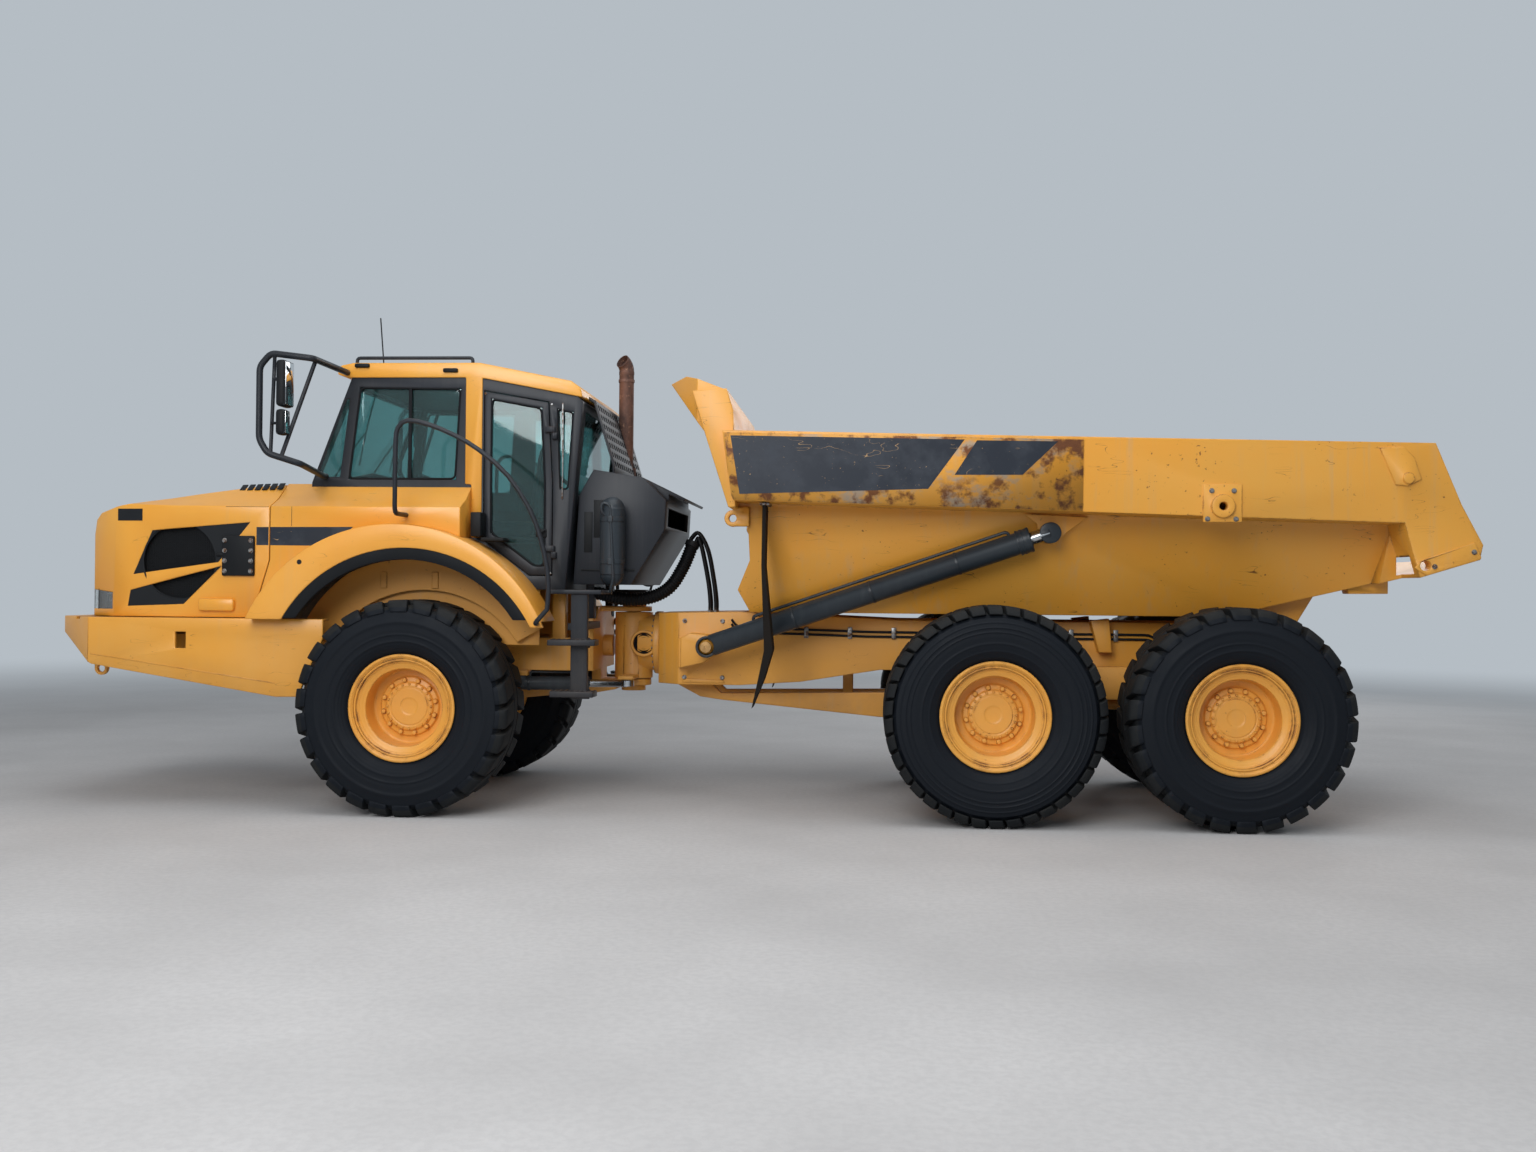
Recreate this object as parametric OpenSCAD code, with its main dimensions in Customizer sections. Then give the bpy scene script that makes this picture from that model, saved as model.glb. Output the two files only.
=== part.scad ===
// Articulated six-wheel dump truck, in millimetres.
// Inside from_axle() x counts from the front axle towards the tail, y from the
// centre plane (the driver's door is on the -y side) and z up from the ground.

/* [Wheels] */
// Front axle to the first bogie axle
wheelbase = 4175; // [4120:5:4230]
// Between the two bogie axles
bogie_spacing = 1670; // [1640:5:1700]
// Wheel centres, side to side
track = 2258; // [2230:2:2290]
// Tyre outer diameter, to the tips of the lugs
tyre_d = 1540; // [1500:5:1560]
// Tyre section width
tyre_w = 600; // [560:5:620]
// Rim flange diameter
rim_d = 770; // [740:5:790]
// Hub cover diameter
hub_d = 346; // [320:2:370]
// Rim's outer flange to the hub's face
hub_recess = 190; // [170:5:205]
// Depth of the grooves between the lugs
lug_depth = 36; // [24:2:44]
// Lugs round one shoulder of a front or rear tyre
lug_count = 26; // [22:1:30]
// Lugs round one shoulder of a middle tyre
fine_lug_count = 38; // [32:1:42]

/* [Tractor] */
// Front axle to the nose of the bumper
overhang_front = 2764; // [2740:2:2790]
// Width of the hood and the cowl
hood_w = 2300; // [2240:10:2360]
// Width over the fenders
fender_w = 2660; // [2600:10:2700]
// Width of the cab
cab_w = 1700; // [1660:10:1740]
// Height of the cab, floor to roof
cab_h = 1682; // [1660:2:1700]
// Cab wall thickness
cab_wall = 45; // [35:1:55]
// Width over the mirrors
mirror_w = 3257; // [3200:1:3300]
// Sheet thickness of hood, cowl and fenders
sheet = 18; // [12:1:24]

/* [Joint to the rear unit] */
// Front axle to the steering hinge
hinge_x = 1440; // [1430:1:1450]
// Height of the axis on which the rear unit rolls
roll_z = 1206; // [1200:1:1212]
// Steering hinge pin diameter
hinge_pin_d = 110; // [90:2:120]

/* [Rear unit] */
// Last axle to the tail of the dump body
overhang_rear = 1611; // [1600:1:1640]
// Width of the dump body
body_w = 2600; // [2560:10:2640]
// Width of the dump body's floor
floor_w = 1440; // [1400:10:1480]
// Floor plate thickness
floor_t = 22; // [16:1:28]
// Width of the rear frame
frame_w = 900; // [880:10:920]
// Height of the dump body's hinge
tip_z = 1400; // [1390:1:1410]
// Hoist cylinder barrel diameter
hoist_d = 160; // [140:2:170]
// Hoist cylinder rod diameter
hoist_rod_d = 100; // [80:2:110]

/* [Hidden] */
$fn = 48;

// Running clearances
pin_fit = 0.05;
moving_gap = 6;
seat_fit = 0.2;

// Places along the truck
mid_axle_x = wheelbase;
rear_axle_x = wheelbase + bogie_spacing;
tail_x = rear_axle_x + overhang_rear;
front_axle_x = -(tail_x - overhang_front) / 2;
axle_z = tyre_d / 2;
tip_x = rear_axle_x + 505;

// Colours
paint = "#e9a12c";
dark = "#3c4046";
rubber = "#24272c";
pane = [0.55, 0.75, 0.74, 0.45];

module from_axle() { translate([front_axle_x, 0, 0]) children(); }

module both_sides() { children(); mirror([0, 1, 0]) children(); }

// A side view outline (x, z) between two distances from the centre plane
module side_prism(points, y0, y1) {
    translate([0, y1, 0]) rotate([90, 0, 0]) linear_extrude(y1 - y0) polygon(points);
}

// A cross section (y, z) run along x
module cross_prism(points, x0, x1) {
    translate([x0, 0, 0]) rotate([90, 0, 90]) linear_extrude(x1 - x0) polygon(points);
}

// A plan outline (x, y) between two heights
module plan_prism(points, z0, z1) { translate([0, 0, z0]) linear_extrude(z1 - z0) polygon(points); }

module block(x0, x1, y0, y1, z0, z1) { translate([x0, y0, z0]) cube([x1 - x0, y1 - y0, z1 - z0]); }

// A round bar from a to b
module bar(a, b, d) {
    v = b - a;
    translate(a) rotate([0, acos(v.z / norm(v)), atan2(v.y, v.x)]) cylinder(h = norm(v), d = d);
}

// Points of a smooth curve through given ones, n to each step
function between(p, i, t) = let (a = p[max(i - 1, 0)], b = p[i], c = p[i + 1], d = p[min(i + 2, len(p) - 1)])
    b + 0.5 * ((c - a) * t + (2 * a - 5 * b + 4 * c - d) * t * t + (3 * b - a - 3 * c + d) * t * t * t);
function curve(p, n) = concat([for (i = [0:len(p) - 2], k = [0:n - 1]) between(p, i, k / n)], [p[len(p) - 1]]);

// Straight runs with each corner bent round from r before it to r after it
function unit(v) = v / norm(v);
function bend(a, b, c, r, n) = [for (k = [0:n]) let (t = k / n)
    (1 - t) * (1 - t) * (b + r * unit(a - b)) + 2 * t * (1 - t) * b + t * t * (b + r * unit(c - b))];
function rounded(p, r, n) = concat([p[0]], [for (i = [1:len(p) - 2]) each bend(p[i - 1], p[i], p[i + 1], r, n)],
    [p[len(p) - 1]]);

// A tube swept along a route, with a ring of corners square to it at each point
function run_at(p, i) = unit(p[min(i + 1, len(p) - 1)] - p[max(i - 1, 0)]);
function square_to(a, run) = unit(a - (a * run) * run);
module hose(points, d, sides) {
    last = len(points) - 1;
    across = [for (i = 0, a = square_to([0.3, 0.5, 0.8], run_at(points, 0)); i <= last;
        i = i + 1, a = square_to(a, run_at(points, i))) a];
    rings = [for (i = [0:last]) let (side = cross(run_at(points, i), across[i]))
        for (k = [0:sides - 1]) points[i] + d / 2 * (across[i] * cos(k * 360 / sides) + side * sin(k * 360 / sides))];
    polyhedron(rings, concat([[for (k = [0:sides - 1]) k]], [[for (k = [sides - 1:-1:0]) last * sides + k]],
        [for (i = [0:last - 1], k = [0:sides - 1]) let (j = (k + 1) % sides)
            [i * sides + j, i * sides + k, (i + 1) * sides + k, (i + 1) * sides + j]]));
}

// A cylinder across the truck
module cross_pin(x, z, y0, y1, d) { translate([x, y1, z]) rotate([90, 0, 0]) cylinder(h = y1 - y0, d = d); }

// A cylinder along the truck
module long_pin(z, x0, x1, d) { translate([x0, 0, z]) rotate([0, 90, 0]) cylinder(h = x1 - x0, d = d); }

// Half a symmetric plan or section, given on the +y side as (a, b) pairs
function mirrored_plan(half) = concat(half, [for (i = [len(half) - 1:-1:0]) [half[i].x, -half[i].y]]);
function mirrored_section(half) = concat(half, [for (i = [len(half) - 1:-1:0]) [-half[i].x, half[i].y]]);

// Wheels

spindle_d = 190;
rim_half = tyre_w * 0.413;
bead_half = rim_half - 15;
bead_r = rim_d / 2 - 50;
hub_inner = -150;
hub_face = rim_half - hub_recess;

module at_wheel(x, side) {
    translate([x, side * track / 2, axle_z]) rotate([-90 * side, 0, 0]) children();
}

module rim_form() {
    hub_r = hub_d / 2;
    rotate_extrude($fn = 96) polygon([
        [spindle_d / 2 + pin_fit, hub_inner], [hub_r, hub_inner], [hub_r, -4], [bead_r - 18, -4],
        [bead_r - 18, -rim_half], [rim_d / 2, -rim_half], [rim_d / 2, -bead_half], [bead_r, -bead_half],
        [bead_r, bead_half], [rim_d / 2, bead_half], [rim_d / 2, rim_half], [rim_d / 2 - 24, rim_half],
        [bead_r - 28, rim_half - 50], [bead_r - 58, rim_half - 62], [bead_r - 58, 24],
        [hub_r + 44, 24], [hub_r + 34, hub_face - 16], [hub_r + 4, hub_face - 16], [hub_r, hub_face - 8],
        [hub_r - 22, hub_face + 4], [62, hub_face + 4], [56, hub_face], [0, hub_face],
        [0, -20], [spindle_d / 2 + pin_fit, -20]]);
}

module tyre_form(lugs, groove_w) {
    half = tyre_w / 2;
    r = tyre_d / 2;
    seat = bead_r + seat_fit;
    bead = bead_half - seat_fit;
    root = r - lug_depth;
    outer = [[seat, bead], [rim_d / 2 + 6, bead], [rim_d / 2 + 24, half * 0.88], [rim_d / 2 + 105, half * 0.985],
        [rim_d / 2 + 170, half], [r - 140, half * 0.99], [root, half * 0.935], [r - 8, half * 0.88], [r, half * 0.82]];
    inner = [[seat, bead - 42], [rim_d / 2 + 30, half * 0.76], [rim_d / 2 + 170, half - 26],
        [root - 70, half * 0.9], [root - 32, half * 0.76]];
    difference() {
        rotate_extrude($fn = 128) polygon(concat(mirrored_plan(outer), [for (i = [0:len(inner) - 1]) [inner[i].x, -inner[i].y]],
            [for (i = [len(inner) - 1:-1:0]) inner[i]]));
        for (i = [0:lugs - 1], face = [-1, 1])
            rotate([0, 0, (i + face / 4) * 360 / lugs])
                translate([root, 0, face * half * 0.62]) rotate([face * 14, 0, 0])
                    cube([lug_depth * 3, groove_w, half * 0.86], center = true);
    }
}

module front_tyre(side) { color(rubber) from_axle() at_wheel(0, side) tyre_form(lug_count, 46); }
module mid_tyre(side) { color(rubber) from_axle() at_wheel(mid_axle_x, side) tyre_form(fine_lug_count, 26); }
module rear_tyre(side) { color(rubber) from_axle() at_wheel(rear_axle_x, side) tyre_form(lug_count, 46); }
module rim(x, side) { color(paint) from_axle() at_wheel(x, side) rim_form(); }

module tyre_front_left() { front_tyre(-1); }
module tyre_front_right() { front_tyre(1); }
module tyre_mid_left() { mid_tyre(-1); }
module tyre_mid_right() { mid_tyre(1); }
module tyre_rear_left() { rear_tyre(-1); }
module tyre_rear_right() { rear_tyre(1); }
module rim_front_left() { rim(0, -1); }
module rim_front_right() { rim(0, 1); }
module rim_mid_left() { rim(mid_axle_x, -1); }
module rim_mid_right() { rim(mid_axle_x, 1); }
module rim_rear_left() { rim(rear_axle_x, -1); }
module rim_rear_right() { rim(rear_axle_x, 1); }

// A drive axle with its spindles and differential housing
axle_d = 250;
nose_face = 300;
module axle_beam(x, nose) {
    housing_end = track / 2 + hub_inner - moving_gap;
    spindle_end = track / 2 - 26;
    if (nose) long_pin(axle_z, x - nose_face, x, 220);
    cross_pin(x, axle_z, -housing_end, housing_end, axle_d);
    cross_pin(x, axle_z, -spindle_end, spindle_end, spindle_d);
    difference() {
        translate([x, 0, axle_z]) sphere(r = 250);
        block(x - 300, x + 300, -300, 300, axle_z - 300, axle_z - 235);
    }
}

// Tractor chassis

beam_y0 = 360;
beam_y1 = 460;
beam_z0 = 1000;
beam_z1 = 1250;
wall_x0 = hinge_x - 310;
wall_x1 = hinge_x - 240;
lug_r = 140;
lower_lug_z = [870, 920];
upper_lug_z = [1452, 1490];
wall_top_z0 = 1400;
strut_top_z = 1330;
strut_y = 540;
strut_x = 120;

module hinge_lug(z) {
    difference() {
        union() {
            translate([hinge_x, 0, z[0]]) cylinder(h = z[1] - z[0], r = lug_r, $fn = 64);
            block(wall_x0, hinge_x, -lug_r, lug_r, z[0], z[1]);
        }
        translate([hinge_x, 0, z[0] - 1]) cylinder(h = z[1] - z[0] + 2, d = hinge_pin_d + 2 * pin_fit, $fn = 64);
    }
}

module front_frame() {
    color(paint) from_axle() {
        both_sides() {
            block(-2250, wall_x1, beam_y0, beam_y1, beam_z0, beam_z1);
            block(strut_x - 90, strut_x + 90, beam_y1, strut_y + 70, strut_top_z, strut_top_z + 30);
            block(strut_x - 90, strut_x + 90, beam_y0, beam_y1, beam_z1, strut_top_z + 30);
            // Bracket of the steering cylinder
            block(580, 700, beam_y0, 500, steer_z + 60, beam_z0);
            // Cab mounts
            for (x = [-180, 880]) block(x, x + 100, beam_y0, beam_y1, beam_z1, cab_floor_z);
        }
        for (x = [-2250, -700, 560]) block(x, x + 120, -beam_y0, beam_y0, beam_z0 + 20, beam_z1 - 20);
        cross_prism(mirrored_section([[lug_r, lower_lug_z[0]], [lug_r, beam_z0], [beam_y1, beam_z0],
            [beam_y1, wall_top_z0], [330, wall_top_z0], [260, upper_lug_z[1]]]), wall_x0, wall_x1);
        hinge_lug(lower_lug_z);
        hinge_lug(upper_lug_z);
        // Shaft joint boot through the wall
        long_pin(1180, wall_x0 - 120, hinge_x - 160, 170);
        // Belly plate under the joint, up to the axle stay
        side_prism([[900, 795], [1100, 800], [1320, 840], [1320, lower_lug_z[0]], [1130, lower_lug_z[0]], [900, 840]], -lug_r, lug_r);
    }
}

module front_axle() {
    color(paint) from_axle() {
        axle_beam(0, false);
        both_sides() {
            block(-60, 210, strut_y - 70, strut_y + 70, axle_z - 60, axle_z + 150);
            bar([strut_x, strut_y, axle_z + 150], [strut_x, strut_y, strut_top_z], 90);
            bar([strut_x, strut_y, axle_z + 150], [strut_x, strut_y, axle_z + 330], 130);
        }
        // Stay back to the belly plate
        side_prism([[0, 700], [900, 795], [900, 840], [0, 820]], -110, 110);
    }
}

// Nose, hood and cowl

sill_z = 1391;
gap_x = -1059;
shoulder_z = 2210;
deck_z = 2386;

bumper_plan = [[-overhang_front, 860], [-2396, 1200], [-640, 1200]];
bumper_inner_plan = [[-overhang_front + 60, 830], [-2385, 1170], [-600, 1170]];
bumper_side = [[-overhang_front, sill_z], [-overhang_front, 1270], [-2372, 1048], [-987, 825],
    [-816, 827], [-770, 960], [-640, 1250], [-640, sill_z]];

bumper_inner_side = [[-overhang_front + 60, sill_z - 14], [-overhang_front + 60, 1262], [-2350, 1072],
    [-2290, 1060], [-2290, 700], [0, 700], [0, sill_z - 14]];
tow_eye = [-2393, 1000, 1006];
hood_hinge = [-2500, 1440];
hood_hinge_y = [560, 590];
hood_pin_d = 30;

module bumper() {
    color(paint) from_axle() {
        difference() {
            intersection() {
                plan_prism(mirrored_plan(bumper_plan), 800, sill_z);
                side_prism(bumper_side, -1300, 1300);
            }
            intersection() {
                plan_prism(mirrored_plan(bumper_inner_plan), 700, sill_z);
                side_prism(bumper_inner_side, -1300, 1300);
            }
            block(-2580, 0, -1080, 1080, sill_z - 20, sill_z + 1);
            both_sides() block(-1740, -1660, 1160, 1210, 1170, 1290);
        }
        // Gooseneck hinges of the hood
        both_sides() {
            side_prism([[-2710, 1290], [-2600, 1350], [-2462, 1350], [-2462, 1414], [-2500, 1412], [-2500, 1468],
                [-2430, 1468], [-2430, 1310], [-2600, 1280]], hood_hinge_y[0], hood_hinge_y[1]);
            cross_pin(hood_hinge.x, hood_hinge.y, hood_hinge_y[0], hood_hinge_y[1], 56);
            cross_pin(hood_hinge.x, hood_hinge.y, hood_hinge_y[0], hood_hinge_y[1] + 56, hood_pin_d);
        }
        // Cross member against the ends of the frame
        block(-2300, -2250, -1180, 1180, 1070, 1340);
        both_sides() difference() {
            union() {
                cross_pin(tow_eye.x, tow_eye.z, tow_eye.y - 18, tow_eye.y + 18, 100);
                block(tow_eye.x - 50, tow_eye.x + 50, tow_eye.y - 18, tow_eye.y + 18, tow_eye.z, 1080);
            }
            cross_pin(tow_eye.x, tow_eye.z, 900, 1100, 56);
        }
    }
}

// Outline of hood and cowl across the truck, at a given inset
function hood_section(t) = mirrored_section([[hood_w / 2 - t, sill_z - (t > 0 ? 50 : 0)], [hood_w / 2 - t, shoulder_z - t * 0.6],
    [hood_w / 2 - 150 - t * 0.6, shoulder_z + 60 - t], [hood_w / 2 - 330, deck_z + 10 - t]]);
function hood_plan(t) = mirrored_plan([[-2560 + t, 740 - t * 0.5], [-2470 + t, 980 - t * 0.7], [-2240, 1110 - t],
    [-1800, hood_w / 2 - t], [gap_x + (t > 0 ? 50 : 0), hood_w / 2 - t]]);
gap_knee_z = 1816;
gap_foot_x = gap_x - 125;
hood_side = [[-2560, sill_z], [-2535, 1661], [-2450, 2110], [-2400, 2160], [-2200, 2212], [-1666, 2310], [-1320, 2366],
    [gap_x - moving_gap, deck_z], [gap_x - moving_gap, gap_knee_z], [gap_foot_x - moving_gap, sill_z]];
hood_side_inner = [[-2540, sill_z - 50], [-2515, 1661], [-2430, 2100], [-2390, 2141], [-2196, 2193], [-1666, 2290],
    [-1320, 2346], [gap_x + 50, deck_z - sheet], [gap_x + 50, sill_z - 50]];

upper_grille = [[-1951, 2029], [-1210, 2091], [-1446, 1799], [-2098, 1707]];
lower_grille = [[-2119, 1590], [-1423, 1770], [-1704, 1491], [-2140, 1473]];
front_grille = [[-560, 1640], [560, 1640], [500, 2040], [-500, 2040]];

module hood() {
    color(paint) from_axle() difference() {
        intersection() {
            cross_prism(hood_section(0), -2600, gap_x - moving_gap);
            plan_prism(hood_plan(0), sill_z + moving_gap, deck_z + 20);
            side_prism(hood_side, -1300, 1300);
        }
        intersection() {
            cross_prism(hood_section(sheet), -2600, gap_x + 10);
            plan_prism(hood_plan(sheet), sill_z - 20, deck_z + 20);
            side_prism(hood_side_inner, -1300, 1300);
        }
        side_prism(upper_grille, -1300, 1300);
        side_prism(lower_grille, -1300, 1300);
        cross_prism(front_grille, -2700, -2350);
        both_sides() lamp_opening(0);
    }
    // Hinge eyes behind the nose
    color(paint) from_axle() both_sides() difference() {
        union() {
            cross_pin(hood_hinge.x, hood_hinge.y, hood_hinge_y[1] + moving_gap, hood_hinge_y[1] + 46, 60);
            block(-2548, hood_hinge.x, hood_hinge_y[1] + moving_gap, hood_hinge_y[1] + 46, 1412, 1468);
        }
        cross_pin(hood_hinge.x, hood_hinge.y, hood_hinge_y[1], hood_hinge_y[1] + 60, hood_pin_d + 2 * pin_fit);
    }
}

module lamp_opening(inset) {
    translate([-2600, 0, 0]) rotate([90, 0, 90]) linear_extrude(330)
        polygon([[690 + inset, 1450 + inset], [1100, 1450 + inset], [1100, 1570 - inset], [700 + inset, 1640 - inset]]);
}

module hood_grilles() {
    color(dark) from_axle() {
        intersection() {
            difference() {
                plan_prism(hood_plan(2), sill_z, deck_z);
                plan_prism(hood_plan(14), sill_z - 1, deck_z + 1);
            }
            both_sides() {
                side_prism(upper_grille, 900, 1300);
                side_prism(lower_grille, 900, 1300);
            }
        }
        difference() {
            intersection() {
                cross_prism(front_grille, -2600, -2350);
                side_prism([[-2547, 1600], [-2518, 1661], [-2440, 2080], [-2425, 2080], [-2503, 1661], [-2532, 1600]], -600, 600);
            }
            for (i = [0:7]) block(-2600, -2300, -470, 470, 1665 + i * 46, 1665 + i * 46 + 28);
        }
    }
}

module headlamps() {
    color("#cfd4d6") from_axle() both_sides() intersection() {
        difference() {
            plan_prism(hood_plan(1), sill_z, deck_z);
            plan_prism(hood_plan(sheet - 2), sill_z - 1, deck_z + 1);
        }
        lamp_opening(seat_fit);
    }
}

// Fender arches: the outer edge of the panel and the mouth
arch_outer = [-91, 895, 1184];
arch_mouth = [-6, 881, 1028];
arch_trim_r = 945;
arch_foot_z = 1350;

module arch(circle_at, y0, y1, grow) {
    cross_pin(circle_at[0], circle_at[1], y0, y1, 2 * (circle_at[2] + grow));
}

module fender(side_y0) {
    y1 = fender_w / 2;
    difference() {
        intersection() {
            arch(arch_outer, side_y0, y1, 0, $fn = 240);
            block(-1400, 1100, 0, y1 + 1, arch_foot_z + 40, 2200);
        }
        arch(arch_mouth, 0, y1 + 1, 0, $fn = 240);
        arch(arch_outer, 0, y1 - sheet, -sheet, $fn = 240);
        block(-1500, -640, 0, 1201, 1300, sill_z);
    }
    // Rear foot of the panel
    difference() {
        intersection() {
            arch(arch_outer, y1 - sheet, y1, 0, $fn = 240);
            block(500, 1100, 0, y1 + 1, arch_foot_z, arch_foot_z + 40);
        }
        arch(arch_mouth, 0, y1 + 1, 0, $fn = 240);
    }
}

module fenders() { color(paint) from_axle() both_sides() fender(cab_w / 2); }

module arch_trims() {
    color(rubber) from_axle() both_sides() difference() {
        intersection() {
            arch(arch_mouth, fender_w / 2 - 80, fender_w / 2 - 2, -seat_fit / 2, $fn = 240);
            block(-1100, 1100, 0, fender_w, sill_z + 10, 2200);
        }
        arch([arch_mouth[0], arch_mouth[1], arch_trim_r], 0, fender_w, 0, $fn = 240);
    }
}

cowl_x1 = 347;

module cowl() {
    color(paint) from_axle() difference() {
        intersection() {
            cross_prism(hood_section(0), gap_foot_x, cowl_x1);
            side_prism([[gap_foot_x, sill_z], [gap_x, gap_knee_z], [gap_x, 2500], [cowl_x1, 2500], [cowl_x1, sill_z]],
                -hood_w, hood_w);
        }
        cross_prism(hood_section(sheet), gap_foot_x - 1, cowl_x1 - sheet);
        // Room for the cab
        block(cab_front_x, cowl_x1 + 1, -cab_w / 2, cab_w / 2, sill_z, deck_z + 60);
        both_sides() arch(arch_outer, cab_w / 2, hood_w, 0, $fn = 240);
    }
}

// Cab

cab_y = cab_w / 2;
cab_front_x = -866;
cab_floor_z = 1618;
roof_z = cab_floor_z + cab_h;
wall_z = roof_z - 110;
cab_side = [[cab_front_x, 2405], [-569, wall_z], [400, wall_z], [1140, wall_z - 140], [1178, wall_z - 180],
    [1058, cab_floor_z], [-300, cab_floor_z], [-420, 2230], [cab_front_x, 2310]];
cab_side_inner = [[-806, 2405], [-530, wall_z - 45], [395, wall_z - 45], [1100, wall_z - 180], [1128, wall_z - 210],
    [1016, cab_floor_z + 45], [-262, cab_floor_z + 45], [-382, 2270], [-806, 2340]];
side_window = [[-505, wall_z - 70], [262, wall_z - 80], [228, 2430], [-590, 2430]];
door_outline = [[436, wall_z - 95], [925, wall_z - 180], [960, 2400], [960, 1720], [786, 1720], [436, 1980]];
door_panel = [[442, wall_z - 103], [919, wall_z - 186], [954, 2400], [954, 1726], [788, 1726], [442, 1984]];
door_window = [[490, wall_z - 155], [872, wall_z - 224], [904, 2400], [904, 1790], [820, 1790], [490, 2036]];
quarter_window = [[985, wall_z - 230], [1110, wall_z - 255], [1075, 2360], [1010, 2360]];
right_window = [[440, wall_z - 130], [925, wall_z - 200], [950, 2000], [440, 2000]];
windscreen = [[-770, 2450], [770, 2450], [740, wall_z - 70], [-740, wall_z - 70]];
rear_window = [[-700, 2330], [700, 2330], [700, wall_z - 230], [-700, wall_z - 230]];

module cab_openings() {
    side_prism(side_window, -cab_w, cab_w);
    side_prism(door_outline, -cab_w, 0);
    side_prism(right_window, 0, cab_w);
    side_prism(quarter_window, -cab_w, cab_w);
    // Windscreen and rear window
    cross_prism(windscreen, -1000, -400);
    cross_prism(rear_window, 1000, 1300);
}

// The door turns on pins at two heights
door_hinge = [966, -cab_y - 20];
door_hinge_z = [1900, wall_z - 410];
door_pin_d = 16;

module cab_shell() {
    color(dark) from_axle() difference() {
        side_prism(cab_side, -cab_y, cab_y);
        side_prism(cab_side_inner, -cab_y + cab_wall, cab_y - cab_wall);
        cab_openings();
    }
    color(dark) from_axle() for (z = door_hinge_z) translate([door_hinge.x, door_hinge.y, z]) {
        translate([0, 0, -50]) cylinder(h = 48, d = 30);
        translate([0, -12, -50]) cube([26, -cab_y - door_hinge.y + 14, 48]);
        cylinder(h = 44, d = door_pin_d);
        translate([0, 0, -5]) cylinder(h = 6, d = door_pin_d);
    }
}

module cab_roof() {
    color(paint) from_axle() {
        side_prism([[-680, wall_z + 25], [-655, roof_z - 20], [-560, roof_z], [402, roof_z], [1090, roof_z - 135],
            [1160, roof_z - 190], [1178, wall_z - 147], [1140, wall_z - 140], [400, wall_z], [-600, wall_z]],
            -cab_y - 10, cab_y + 10);
        // Painted pillar in front of the door
        both_sides() side_prism([[300, wall_z], [425, wall_z], [425, 2000], [cowl_x1, 2000], [cowl_x1, deck_z + 10],
            [300, deck_z + 10]], cab_y, cab_y + 10);
    }
}

module cab_glass() {
    t = 6;
    color(pane) from_axle() {
        both_sides() {
            side_prism(side_window, cab_y - 25, cab_y - 25 + t);
            side_prism(quarter_window, cab_y - 25, cab_y - 25 + t);
        }
        side_prism(right_window, cab_y - 25, cab_y - 25 + t);
        intersection() {
            side_prism([[-846, 2405], [-549, wall_z], [-555, wall_z], [-852, 2405]], -cab_y, cab_y);
            cross_prism(windscreen, -1000, -400);
        }
        intersection() {
            side_prism([[1150, wall_z - 180], [1030, cab_floor_z], [1036, cab_floor_z], [1156, wall_z - 180]], -cab_y, cab_y);
            cross_prism(rear_window, 1000, 1300);
        }
    }
}

wheel_at = [-120, 0, 2420];

module cab_interior() {
    color(dark) from_axle() {
        // Dashboard
        side_prism([cab_side_inner[8], cab_side_inner[7], [-300, 1900], [-200, 1900], [-230, 2420], [-420, 2480],
            [cab_side_inner[8].x, 2400]], -cab_y + cab_wall, cab_y - cab_wall);
        // Steering column and wheel
        bar([-250, 0, 2200], wheel_at, 70);
        translate(wheel_at) rotate([0, 30, 0]) {
            rotate_extrude($fn = 64) translate([205, 0]) circle(d = 32, $fn = 24);
            for (a = [0, 120, 240]) rotate([0, 0, a]) translate([0, -18, -8]) cube([200, 36, 16]);
            cylinder(h = 24, d = 110, center = true);
        }
        // Console beside the seat
        block(250, 900, 330, 560, 1663, 2260);
    }
}

seat_x = 480;

module seat_base() {
    color(dark) from_axle() {
        block(seat_x - 180, seat_x + 180, -200, 200, 1663, 1980);
        block(seat_x - 240, seat_x + 260, -250, 250, 1980, 2030);
    }
}

module seat_pads() {
    color("#4a4d52") from_axle() {
        block(seat_x - 260, seat_x + 220, -260, 260, 2030.3, 2150);
        side_prism([[seat_x + 130, 2150.3], [seat_x + 240, 2150.3], [seat_x + 330, 2760], [seat_x + 240, 2770]], -240, 240);
        side_prism([[seat_x + 250, 2755], [seat_x + 326, 2750], [seat_x + 350, 2950], [seat_x + 280, 2960]], -140, 140);
    }
}

module engine() {
    color("#55585c") from_axle() block(-2000, -760, -beam_y0, beam_y0, beam_z1 - 20, 2060);
}

// Behind the cab

stack_x = 1310;
stack_y = 300;
housing_y = 760;
function housing_top(x) = 2516 - (x - 1245) * 0.154;

module exhaust() {
    color("#4a342b") from_axle() {
        bar([stack_x, stack_y, 2480], [stack_x, stack_y, 3400], 120);
        translate([stack_x - 130, stack_y, 3400]) rotate([-90, 0, 0]) rotate([0, 0, 0]) rotate_extrude(angle = -50)
            translate([130, 0]) circle(d = 130, $fn = 48);
    }
}

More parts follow.
